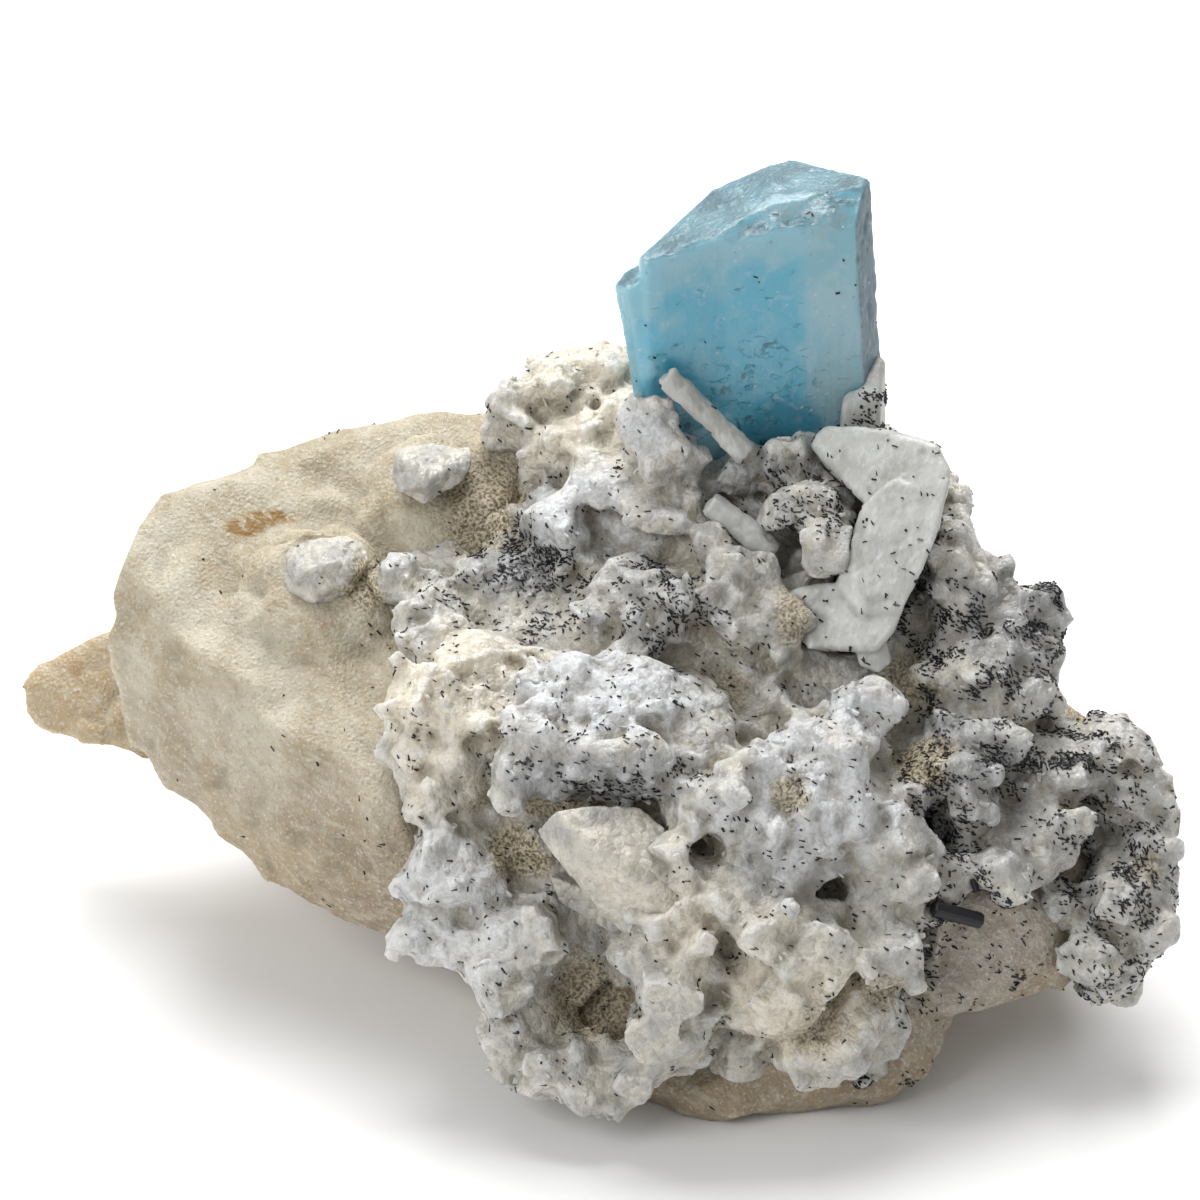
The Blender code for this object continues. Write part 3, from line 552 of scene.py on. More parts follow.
def add_blades(bm):
    """Adds the flat blades, each tapering to a smaller end face."""
    for _, start, end, width, thickness in BLADES:
        start, end = Vector(start), Vector(end)
        along = (end - start).normalized()
        across = along.cross(Vector((0, 1, 0))).normalized()
        over = across.cross(along)
        corners = []
        for (tip, inward), back, sx, sz in itertools.product(
                ((start, 1), (end, -1)), (0, 1), (-1, 1), (-1, 1)):
            shrink = 1 if back else 0.7
            corners.append((
                tip + along * inward * 0.25 * width * back
                + across * sx * width / 2 * shrink + over * sz * thickness / 2 * shrink) * MM)
        add_stone(bm, corners)


def angular_shape(node, name):
    """The shape of a small solid, made from its listed corners where they are listed."""
    obj = welded_copy(node, name)
    if node not in ANGULAR:
        return obj
    bm = bmesh.new()
    if node == "bent_albite_crystal":
        bm.from_mesh(obj.data)
    add_stone(bm, [Vector(corner) * MM for corner in ANGULAR[node]])
    if node == "curved_albite_plate":
        add_stone(bm, [Vector(corner) * MM for corner in ANGULAR["under the curved plate"]])
    bmesh.ops.recalc_face_normals(bm, faces=bm.faces)
    bm.to_mesh(obj.data)
    bm.free()
    return obj


def thin_hidden(obj, other, depth):
    """Coarsens the part of a rock skin that faces another skin within this many millimetres."""
    mesh = obj.data
    tree = BVHTree.FromPolygons(
        [v.co for v in other.data.vertices], [list(p.vertices) for p in other.data.polygons])
    group = obj.vertex_groups.new(name="hidden")
    buried = []
    for vertex in mesh.vertices:
        _, facing, _, away = tree.find_nearest(vertex.co)
        # The two skins look at each other here, so neither is seen.
        if away < depth * MM and vertex.normal.dot(facing) < -0.15:
            buried.append(vertex.index)
    group.add(buried, 1.0, "REPLACE")
    thin = obj.modifiers.new("thin", "DECIMATE")
    thin.ratio = 1 - 0.9 * len(buried) / len(mesh.vertices)
    thin.vertex_group = "hidden"
    bake(obj)
    obj.vertex_groups.clear()


def bake(obj):
    """Makes one plain mesh of an object and its modifiers."""
    graph = bpy.context.evaluated_depsgraph_get()
    mesh = bpy.data.meshes.new_from_object(obj.evaluated_get(graph), depsgraph=graph)
    old = obj.data
    obj.modifiers.clear()
    obj.data = mesh
    mesh.name = obj.name
    bpy.data.meshes.remove(old)
    return obj


def points_of(mesh):
    """The vertices in millimetres."""
    flat = np.empty(len(mesh.vertices) * 3, np.float32)
    mesh.vertices.foreach_get("co", flat)
    return flat.reshape(-1, 3).astype(float) / MM


def move_points(mesh, points):
    """Puts the vertices at these places, in millimetres."""
    mesh.vertices.foreach_set("co", (points * MM).astype(np.float32).ravel())
    mesh.update()


def normals_of(mesh):
    flat = np.empty(len(mesh.vertices) * 3, np.float32)
    mesh.vertex_normals.foreach_get("vector", flat)
    return flat.reshape(-1, 3).astype(float)


def store(mesh, name, values):
    """Keeps one number for each vertex under this name."""
    layer = mesh.attributes.get(name) or mesh.attributes.new(name, "FLOAT", "POINT")
    layer.data.foreach_set("value", np.asarray(values, np.float32))


def edges_of(mesh):
    pairs = np.empty(len(mesh.edges) * 2, np.int32)
    mesh.edges.foreach_get("vertices", pairs)
    return pairs.reshape(-1, 2)


def averaged(values, edges, rounds):
    """Values spread along the edges of a mesh, each point taking its neighbours' mean."""
    count = len(values)
    near = np.bincount(edges.ravel(), minlength=count).astype(float)
    near[near == 0] = 1
    values = np.array(values, float).reshape(count, -1)
    for _ in range(rounds):
        total = np.zeros_like(values)
        for k in range(values.shape[1]):
            total[:, k] = np.bincount(edges[:, 0], values[edges[:, 1], k], count)
            total[:, k] += np.bincount(edges[:, 1], values[edges[:, 0], k], count)
        values = 0.5 * values + 0.5 * total / near[:, None]
    return values


def hollowness(mesh, rounds, span):
    """Above 0 where a point lies in a crease, below 0 where it stands proud. Span is in mm."""
    points = points_of(mesh)
    away = averaged(points, edges_of(mesh), rounds) - points
    return (away * normals_of(mesh)).sum(1) / span


def keep_in_box(obj):
    """Holds a skin inside the box of the solids, so that the size stays right."""
    low, high = (np.array(corner) / MM for corner in CAD_BOX)
    move_points(obj.data, np.clip(points_of(obj.data), low + 0.02, high - 0.02))


def smooth_faces(mesh, smooth=True):
    mesh.polygons.foreach_set("use_smooth", np.full(len(mesh.polygons), smooth))


def grown_skin(obj, grid, grow, smoothing):
    """Swells a shape by a few tenths of a millimetre, melts it into one even skin and smooths
    its facets away."""
    swell = obj.modifiers.new("swell", "DISPLACE")
    swell.strength, swell.mid_level = grow * MM, 0
    melt = obj.modifiers.new("melt", "REMESH")
    melt.mode, melt.voxel_size, melt.adaptivity = "VOXEL", grid, 0
    soften = obj.modifiers.new("soften", "SMOOTH")
    soften.factor, soften.iterations = 0.5, smoothing
    return bake(obj)


def wear_down(mesh, most, rounds):
    """Wears down thin spikes and fills narrow pores, which a crystal crust does not have. What
    stands this many millimetres out of the skin, or less, stays."""
    for _ in range(rounds):
        points = points_of(mesh)
        away = averaged(points, edges_of(mesh), 6) - points
        proud = np.abs((away * normals_of(mesh)).sum(1))
        share = np.clip((proud - most) / 0.2, 0, 0.9)
        move_points(mesh, points + away * share[:, None])


def set_input(modifier, name, value):
    """Sets a Geometry Nodes modifier's input, found by its name, through its identifier."""
    for item in modifier.node_group.interface.items_tree:
        if item.item_type == "SOCKET" and item.in_out == "INPUT" and item.name == name:
            modifier[item.identifier] = value
            return
    raise RuntimeError(f"{modifier.node_group.name} has no input {name}")


def run_tree(obj, tree, inputs):
    """Runs a Geometry Nodes tree on an object and keeps the result as its plain mesh."""
    modifier = obj.modifiers.new(tree.name, "NODES")
    modifier.node_group = tree
    for name, value in inputs.items():
        set_input(modifier, name, value)
    return bake(obj)


def new_tree(name, inputs):
    """A Geometry Nodes tree with a geometry input and output and these named inputs."""
    tree = bpy.data.node_groups.new(name, "GeometryNodeTree")
    tree.interface.new_socket("Geometry", in_out="INPUT", socket_type="NodeSocketGeometry")
    for socket, kind, value in inputs:
        made = tree.interface.new_socket(socket, in_out="INPUT", socket_type=kind)
        if value is not None:
            made.default_value = value
    tree.interface.new_socket("Geometry", in_out="OUTPUT", socket_type="NodeSocketGeometry")
    return tree, tree.nodes.new("NodeGroupInput").outputs, tree.nodes.new("NodeGroupOutput").inputs


def leaning_faces(tree, place, scale, feature):
    """The height of a crust with one crystal to a Voronoi cell, whose face leans its own way."""
    cells = add_node(tree, VORONOI, {"Vector": place, "Scale": scale}, feature=feature)
    if feature == "SMOOTH_F1":
        cells.inputs["Smoothness"].default_value = 0.12
    lean = add_node(
        tree, VECTOR, {0: cells.outputs["Color"], 1: (0.5, 0.5, 0.5)}, operation="SUBTRACT"
    )
    from_middle = add_node(
        tree, VECTOR, {0: place, 1: cells.outputs["Position"]}, operation="SUBTRACT"
    )
    in_cells = add_node(tree, VECTOR, {0: from_middle, "Scale": scale}, operation="SCALE")
    tilt = add_node(tree, VECTOR, {0: lean, 1: in_cells}, operation="DOT_PRODUCT")
    step = add_node(tree, "ShaderNodeSeparateXYZ", {0: lean})
    face = add_node(tree, MATH, {0: tilt, 1: 2.6}, operation="MULTIPLY")
    face = add_node(tree, MATH, {0: face, 1: step}, operation="ADD")
    fall = add_node(tree, MATH, {0: cells.outputs["Distance"], 1: 2.0}, operation="POWER")
    return add_node(tree, MATH, {0: face, 1: fall}, operation="SUBTRACT")


def blocky_relief_tree():
    """Breaks a skin into small tilted faces, as on a crust of intergrown crystals.

    Each cell of a Voronoi texture is a crystal, whose face leans its own way.
    """
    tree, given, out = new_tree("Blocky relief", [
        ("Block size", "NodeSocketFloat", 0.0026),
        ("Block height", "NodeSocketFloat", 0.0005),
        ("Grain size", "NodeSocketFloat", 0.0009),
        ("Grain height", "NodeSocketFloat", 0.0001),
        ("Seed", "NodeSocketFloat", 0.0),
        ("Material", "NodeSocketMaterial", None),
    ])
    size = given["Block size"]
    place = tree.nodes.new("GeometryNodeInputPosition")
    facing = tree.nodes.new("GeometryNodeInputNormal")
    rough = add_node(tree, ATTRIBUTE, {"Name": "rough"}, data_type="FLOAT")
    shift = add_node(tree, VECTOR, {0: place, 1: given["Seed"]}, operation="ADD")
    slow = add_node(tree, MATH, {0: 0.6, 1: size}, operation="DIVIDE")
    drift = add_node(tree, NOISE, {"Vector": shift, "Scale": slow, "Detail": 3.0})
    centred = add_node(
        tree, VECTOR, {0: drift.outputs["Color"], 1: (0.5, 0.5, 0.5)}, operation="SUBTRACT"
    )
    reach = add_node(tree, MATH, {0: size, 1: 1.1}, operation="MULTIPLY")
    bend = add_node(tree, VECTOR, {0: centred, "Scale": reach}, operation="SCALE")
    warped = add_node(tree, VECTOR, {0: shift, 1: bend}, operation="ADD")
    wave = add_node(tree, MATH, {0: drift.outputs[0], 1: 0.5}, operation="SUBTRACT")
    total = add_node(tree, MATH, {0: wave, 1: given["Block height"]}, operation="MULTIPLY")
    # Large blocks, small blocks and grains: size and height, each over the given one.
    for span, rise, over_size, over_height in (
        (size, given["Block height"], 1.0, 1.0),
        (size, given["Block height"], 0.46, 0.5),
        (given["Grain size"], given["Grain height"], 1.0, 1.0),
    ):
        scale = add_node(tree, MATH, {0: 1 / over_size, 1: span}, operation="DIVIDE")
        face = leaning_faces(tree, warped, scale, "SMOOTH_F1")
        height = add_node(tree, MATH, {0: rise, 1: over_height}, operation="MULTIPLY")
        face = add_node(tree, MATH, {0: face, 1: height}, operation="MULTIPLY")
        total = add_node(tree, MATH, {0: total, 1: face}, operation="ADD")
    raised = add_node(tree, MATH, {0: total, 1: rough}, operation="MULTIPLY")
    eased = add_node(
        tree, "GeometryNodeBlurAttribute", {"Value": raised, "Iterations": 1}, data_type="FLOAT"
    )
    outward = add_node(tree, VECTOR, {0: facing, "Scale": eased}, operation="SCALE")
    moved = add_node(
        tree, "GeometryNodeSetPosition", {"Geometry": given["Geometry"], "Offset": outward}
    )
    real = add_node(tree, "GeometryNodeRealizeInstances", {"Geometry": moved})
    dressed = add_node(
        tree, "GeometryNodeSetMaterial", {"Geometry": real, "Material": given["Material"]}
    )
    tree.links.new(dressed.outputs[0], out["Geometry"])
    return tree


def scatter_tree(name, sides, taper, lean):
    """Scatters small straight crystals over a skin, thicker where its attribute says so.

    A lean of 1 lays them along the surface, and of 0 stands them on it.
    """
    tree, given, out = new_tree(name, [
        ("Crystals per square metre", "NodeSocketFloat", 100000.0),
        ("Length", "NodeSocketFloat", 0.0006),
        ("Thickness", "NodeSocketFloat", 0.0002),
        ("Seed", "NodeSocketInt", 1),
        ("Material", "NodeSocketMaterial", None),
    ])
    share = add_node(tree, ATTRIBUTE, {"Name": name}, data_type="FLOAT")
    density = add_node(
        tree, MATH, {0: share, 1: given["Crystals per square metre"]}, operation="MULTIPLY"
    )
    spread = add_node(tree, "GeometryNodeDistributePointsOnFaces", {
        "Mesh": given["Geometry"], "Density": density, "Seed": given["Seed"],
    }, distribute_method="RANDOM")
    facing = spread.outputs["Normal"]
    seeds = [
        add_node(tree, MATH, {0: given["Seed"], 1: float(k)}, operation="ADD") for k in range(1, 5)
    ]
    wish = add_node(tree, RANDOM, {
        "Min": (-0.05, -0.75, -1.15), "Max": (1.55, 0.55, 0.25), "Seed": seeds[0],
    }, data_type="FLOAT_VECTOR")
    along = add_node(tree, VECTOR, {0: wish, 1: facing}, operation="DOT_PRODUCT")
    share = add_node(tree, MATH, {0: along, 1: lean}, operation="MULTIPLY")
    lifted = add_node(tree, VECTOR, {0: facing, "Scale": share}, operation="SCALE")
    lying = add_node(tree, VECTOR, {0: wish, 1: lifted}, operation="SUBTRACT")
    standing = add_node(tree, VECTOR, {0: facing, "Scale": 1.2 - lean}, operation="SCALE")
    axis = add_node(tree, VECTOR, {0: lying, 1: standing}, operation="ADD")
    turn = add_node(tree, "FunctionNodeAlignRotationToVector", {"Vector": axis}, axis="Z")
    sizes = []
    for seed, low, high, over in (
        (seeds[1], 0.5, 1.5, given["Thickness"]),
        (seeds[2], 0.45, 1.1, given["Thickness"]),
        (seeds[3], 0.35, 1.65, given["Length"]),
    ):
        dice = add_node(tree, RANDOM, {"Min": low, "Max": high, "Seed": seed})
        sizes.append(add_node(tree, MATH, {0: dice, 1: over}, operation="MULTIPLY"))
    size = add_node(tree, "ShaderNodeCombineXYZ", dict(enumerate(sizes)))
    crystal = add_node(tree, "GeometryNodeMeshCone", {
        "Vertices": sides, "Radius Top": 0.5 * taper, "Radius Bottom": 0.5, "Depth": 1.0,
    })
    centred = add_node(
        tree, "GeometryNodeTransform", {"Geometry": crystal, "Translation": (0, 0, -0.5)}
    )
    placed = add_node(tree, "GeometryNodeInstanceOnPoints", {
        "Points": spread, "Instance": centred, "Rotation": turn, "Scale": size,
    })
    real = add_node(tree, "GeometryNodeRealizeInstances", {"Geometry": placed})
    dressed = add_node(
        tree, "GeometryNodeSetMaterial", {"Geometry": real, "Material": given["Material"]}
    )
    tree.links.new(dressed.outputs[0], out["Geometry"])
    return tree


# ---------------------------------------------------------------- materials


def new_material(name):
    """A new material, its node tree and its shader."""
    material = bpy.data.materials.new(name)
    material.use_nodes = True
    tree = material.node_tree
    return material, tree, tree.nodes["Principled BSDF"]


def layered(tree, colours):
    """Lays colours over each other: the first is the ground, each next one has its share."""
    ground = colours[0]
    for share, tint in colours[1:]:
        mixed = add_node(tree, MIX, {"Factor": share, "B": tint}, data_type="RGBA")
        lower = next(s for s in mixed.inputs if s.enabled and s.name == "A")
        if isinstance(ground, bpy.types.Node):
            tree.links.new(next(o for o in ground.outputs if o.enabled), lower)
        else:
            lower.default_value = ground
        ground = mixed
    return ground


def quartz_material(looks):
    """Massive vein quartz, broken by hand: cloudy and clear from place to place, so light soaks
    in, and sugary where the fracture crosses its grains."""
    material, tree, shader = new_material("Massive quartz, broken")
    place = add_node(tree, "ShaderNodeTexCoord").outputs["Object"]
    share = {
        name: add_node(tree, "ShaderNodeAttribute", attribute_name=name).outputs["Fac"]
        for name in ("clay", "bare", "spur", "iron", "hollow")
    }
    # Streaks and ridges lie along the slanting fracture, 2.2 times as long as wide.
    slant = add_node(tree, "ShaderNodeMapping", {
        "Vector": place, "Rotation": (-0.58, -1.12, 0), "Scale": (1, 1, 2.2),
    }, vector_type="TEXTURE")
    cloud = add_node(tree, NOISE, {"Vector": place, "Scale": per_mm(7), "Detail": 3.0})
    streak = add_node(tree, NOISE, {"Vector": slant, "Scale": per_mm(0.7), "Detail": 4.0})
    # Sugary grains half a millimetre wide.
    sugar = add_node(tree, VORONOI, {"Vector": place, "Scale": per_mm(0.5)})
    fine = add_node(tree, NOISE, {"Vector": place, "Scale": per_mm(0.3), "Detail": 3.0})
    pale = add_node(tree, RANGE, {"Value": cloud, "From Min": 0.42, "From Max": 0.62})
    streaks = add_node(tree, RANGE, {
        "Value": streak, "From Min": 0.45, "From Max": 0.68, "To Max": 0.6,
    })
    shade = add_node(tree, RANGE, {
        "Value": streak, "From Min": 0.5, "From Max": 0.3, "To Max": 0.4,
    })
    # Crease colour in the creases of the quartz: partly dirt, partly painted shade.
    dirt_and_shade = add_node(tree, RANGE, {
        "Value": share["hollow"], "From Min": 0.02, "From Max": 0.35, "To Max": 0.55,
    })
    above = add_node(tree, "ShaderNodeSeparateXYZ", {0: place}).outputs["Z"]
    # Browner and darker low on the flanks: partly the quartz's own tone, partly painted shade.
    low = add_node(tree, RANGE, {
        "Value": above, "From Min": 30 * MM, "From Max": 12 * MM, "To Max": 0.85,
    })
    stain = add_node(tree, RANGE, {"Value": streak, "From Min": 0.38, "From Max": 0.5})
    stain = add_node(tree, MATH, {0: stain, 1: share["iron"]}, operation="MULTIPLY")
    grains = add_node(tree, RANGE, {"Value": fine, "From Min": 0.38, "From Max": 0.6})
    clay_grain = layered(tree, [looks.clay_gap, (grains, looks.clay)])
    # White flecks and brown specks. Real ones are finer: these are as fine as still show.
    flecks = add_node(tree, RANGE, {
        "Value": fine, "From Min": 0.58, "From Max": 0.68, "To Max": 0.6,
    })
    specks = add_node(tree, RANGE, {
        "Value": fine, "From Min": 0.4, "From Max": 0.31, "To Max": 0.5,
    })
    base = layered(tree, [
        looks.quartz, (pale, looks.quartz_pale), (low, looks.low_quartz_and_shade),
        (share["spur"], looks.quartz_warm),
        (share["bare"], looks.bare_quartz), (streaks, looks.quartz_pale),
        (shade, looks.quartz_warm), (flecks, looks.quartz_fleck), (specks, looks.quartz_speck),
        (dirt_and_shade, looks.crease), (share["clay"], clay_grain), (stain, looks.iron),
    ])
    tree.links.new(base.outputs[2], shader.inputs["Base Color"])
    # The flanks break into ridges 1.6 mm wide, the top only into sugary grains.
    ridge = leaning_faces(tree, slant, per_mm(1.6), "F1")
    ridge = add_node(tree, MATH, {0: ridge, 1: low}, operation="MULTIPLY")
    height = add_node(tree, MATH, {0: sugar, 1: 0.45}, operation="MULTIPLY")
    rubble = add_node(tree, MATH, {0: share["clay"], 1: 1.4}, operation="ADD")
    rubble = add_node(tree, MATH, {0: rubble, 1: fine}, operation="MULTIPLY")
    height = add_node(tree, MATH, {0: height, 1: rubble}, operation="ADD")
    height = add_node(tree, MATH, {0: height, 1: ridge}, operation="ADD")
    bump = add_node(tree, "ShaderNodeBump", {"Strength": 0.7, "Distance": 0.0003, "Height": height})
    tree.links.new(bump.outputs[0], shader.inputs["Normal"])
    gloss = add_node(tree, RANGE, {"Value": sugar.outputs["Color"], "To Min": 0.3, "To Max": 0.62})
    tree.links.new(gloss.outputs[0], shader.inputs["Roughness"])
    shader.inputs["IOR"].default_value = 1.54
    shader.inputs["Subsurface Weight"].default_value = 0.5
    shader.inputs["Subsurface Radius"].default_value = (1.0, 0.9, 0.75)
    shader.inputs["Subsurface Scale"].default_value = 1.8 * MM
    return material


def crust_material(looks):
    """Albite grown in waxy knobs: translucent white with a soft gloss, cream, grey or snowy from
    place to place, and with tan clay in its pockets."""
    material, tree, shader = new_material("Albite, grown in knobs")
    place = add_node(tree, "ShaderNodeTexCoord").outputs["Object"]
    share = {
        name: add_node(tree, "ShaderNodeAttribute", attribute_name=name).outputs["Fac"]
        for name in ("clay", "snow", "cream", "grey", "hollow", "depth")
    }
    cloud = add_node(tree, NOISE, {"Vector": place, "Scale": per_mm(2.6), "Detail": 3.0})
    sugar = add_node(tree, NOISE, {"Vector": place, "Scale": per_mm(0.55), "Detail": 3.0})
    fine = add_node(tree, NOISE, {"Vector": place, "Scale": per_mm(0.28), "Detail": 2.0})
    clearer = add_node(tree, RANGE, {
        "Value": cloud, "From Min": 0.48, "From Max": 0.7, "To Max": 0.55,
    })
    warmer = add_node(tree, RANGE, {
        "Value": cloud, "From Min": 0.5, "From Max": 0.34, "To Max": 0.5,
    })
    grainy = add_node(tree, RANGE, {
        "Value": sugar, "From Min": 0.5, "From Max": 0.68, "To Max": 0.35,
    })
    # Crease colour in the small creases: partly dirt, partly painted shade.
    dirt_and_shade = add_node(tree, RANGE, {
        "Value": share["hollow"], "From Min": 0.1, "From Max": 0.6, "To Max": 0.5,
    })
    # Painted shade: the deep recesses take the crease colour.
    deep = add_node(tree, RANGE, {
        "Value": share["depth"], "From Min": 0.1, "From Max": 0.9, "To Max": 0.6,
    })
    # Painted highlight: the points that stand proud are whitened with the snowy albite colour.
    proud = add_node(tree, RANGE, {
        "Value": share["hollow"], "From Min": -0.1, "From Max": -0.5, "To Max": 0.35,
    })
    grains = add_node(tree, RANGE, {"Value": fine, "From Min": 0.38, "From Max": 0.6})
    clay_grain = layered(tree, [looks.clay_gap, (grains, looks.clay)])
    # Snowy albite, which on the front lobe and on the sheet over the hollow is painted light.
    snow = add_node(tree, MATH, {0: share["snow"], 1: 0.85}, operation="MULTIPLY")
    base = layered(tree, [
        looks.albite, (clearer, looks.albite_grey), (warmer, looks.albite_cream),
        (share["cream"], looks.albite_cream), (share["grey"], looks.albite_grey),
        (snow, looks.albite_snow_and_highlight), (grainy, looks.albite_grey), (proud, looks.albite_snow_and_highlight),
        (deep, looks.crease), (dirt_and_shade, looks.crease), (share["clay"], clay_grain),
    ])
    tree.links.new(base.outputs[2], shader.inputs["Base Color"])
    # Cleavage faces 0.85 mm wide, each leaning its own way.
    facets = leaning_faces(tree, place, per_mm(0.85), "F1")
    height = add_node(tree, MATH, {0: sugar, 1: 1.6}, operation="MULTIPLY")
    height = add_node(tree, MATH, {0: height, 1: facets}, operation="ADD")
    rubble = add_node(tree, MATH, {0: share["clay"], 1: 1.4}, operation="MULTIPLY")
    rubble = add_node(tree, MATH, {0: rubble, 1: 0.5}, operation="ADD")
    rubble = add_node(tree, MATH, {0: rubble, 1: fine}, operation="MULTIPLY")
    height = add_node(tree, MATH, {0: height, 1: rubble}, operation="ADD")
    bump = add_node(tree, "ShaderNodeBump", {"Strength": 0.8, "Distance": 0.0003, "Height": height})
    tree.links.new(bump.outputs[0], shader.inputs["Normal"])
    gloss = add_node(tree, RANGE, {
        "Value": sugar, "From Min": 0.35, "From Max": 0.65, "To Min": 0.2, "To Max": 0.52,
    })
    tree.links.new(gloss.outputs[0], shader.inputs["Roughness"])
    shader.inputs["IOR"].default_value = 1.53
    shader.inputs["Subsurface Weight"].default_value = 0.5
    shader.inputs["Subsurface Radius"].default_value = (1.0, 0.92, 0.8)
    shader.inputs["Subsurface Scale"].default_value = 1.7 * MM
    return material


def albite_crystal_material(looks):
    """Albite in single blades: smooth cleavage and growth faces, milky and a little clear, with
    cloudier zones 2 mm wide and fine growth lines."""
    material, tree, shader = new_material("Albite, single crystals")
    place = add_node(tree, "ShaderNodeTexCoord").outputs["Object"]
    dust_and_shade = add_node(tree, "ShaderNodeAttribute", attribute_name="hollow").outputs["Fac"]
    cloud = add_node(tree, NOISE, {"Vector": place, "Scale": per_mm(3.5), "Detail": 3.0})
    line = add_node(tree, "ShaderNodeMapping", {
        "Vector": place, "Rotation": (0.2, -0.6, 0.3), "Scale": (1, 1, 0.15),
    })
    growth = add_node(tree, NOISE, {"Vector": line, "Scale": per_mm(0.5), "Detail": 3.0})
    fine = add_node(tree, NOISE, {"Vector": place, "Scale": per_mm(0.35), "Detail": 3.0})
    shade = add_node(tree, RANGE, {"Value": cloud, "From Min": 0.4, "From Max": 0.65, "To Max": 0.8})
    milky = add_node(tree, RANGE, {"Value": growth, "From Min": 0.5, "From Max": 0.75, "To Max": 0.4})
    # Darker in the corners and creases: partly dust, partly painted shade.
    dirt_and_shade = add_node(tree, RANGE, {"Value": dust_and_shade, "From Min": 0.05, "From Max": 0.5, "To Max": 0.6})
    base = layered(tree, [
        looks.albite, (shade, looks.albite_shade), (milky, looks.milk),
        (dirt_and_shade, looks.dust_and_shade),
    ])
    tree.links.new(base.outputs[2], shader.inputs["Base Color"])
    height = add_node(tree, MATH, {0: growth, 1: fine}, operation="ADD")
    bump = add_node(tree, "ShaderNodeBump", {"Strength": 0.5, "Distance": 0.00014, "Height": height})
    tree.links.new(bump.outputs[0], shader.inputs["Normal"])
    gloss = add_node(tree, RANGE, {"Value": fine, "To Min": 0.25, "To Max": 0.55})
    tree.links.new(gloss.outputs[0], shader.inputs["Roughness"])
    shader.inputs["IOR"].default_value = 1.53
    shader.inputs["Subsurface Weight"].default_value = 0.4
    shader.inputs["Subsurface Radius"].default_value = (1.0, 0.97, 0.92)
    shader.inputs["Subsurface Scale"].default_value = 1.6 * MM
    return material


def schorl_material(looks):
    """Schorl, the black tourmaline: opaque, glassy, and finely grooved along the prism, which
    breaks its highlight into threads."""
    material, tree, shader = new_material("Schorl, grown prisms")
    place = add_node(tree, "ShaderNodeTexCoord").outputs["Object"]
    # Real grooves are finer than 0.2 mm, but would not show.
    grooves = add_node(tree, "ShaderNodeMapping", {"Vector": place, "Scale": (0.2, 1, 1)})
    groove = add_node(tree, NOISE, {"Vector": grooves, "Scale": per_mm(0.2), "Detail": 2.0})
    mixed = layered(tree, [looks.black, (groove, looks.groove)])
    tree.links.new(mixed.outputs[2], shader.inputs["Base Color"])
    gloss = add_node(tree, RANGE, {"Value": groove, "To Min": 0.28, "To Max": 0.55})
    tree.links.new(gloss.outputs[0], shader.inputs["Roughness"])
    bump = add_node(tree, "ShaderNodeBump", {"Strength": 0.6, "Distance": 0.00005, "Height": groove})
    tree.links.new(bump.outputs[0], shader.inputs["Normal"])
    shader.inputs["IOR"].default_value = 1.65
    shader.inputs["Specular IOR Level"].default_value = 0.3
    return material


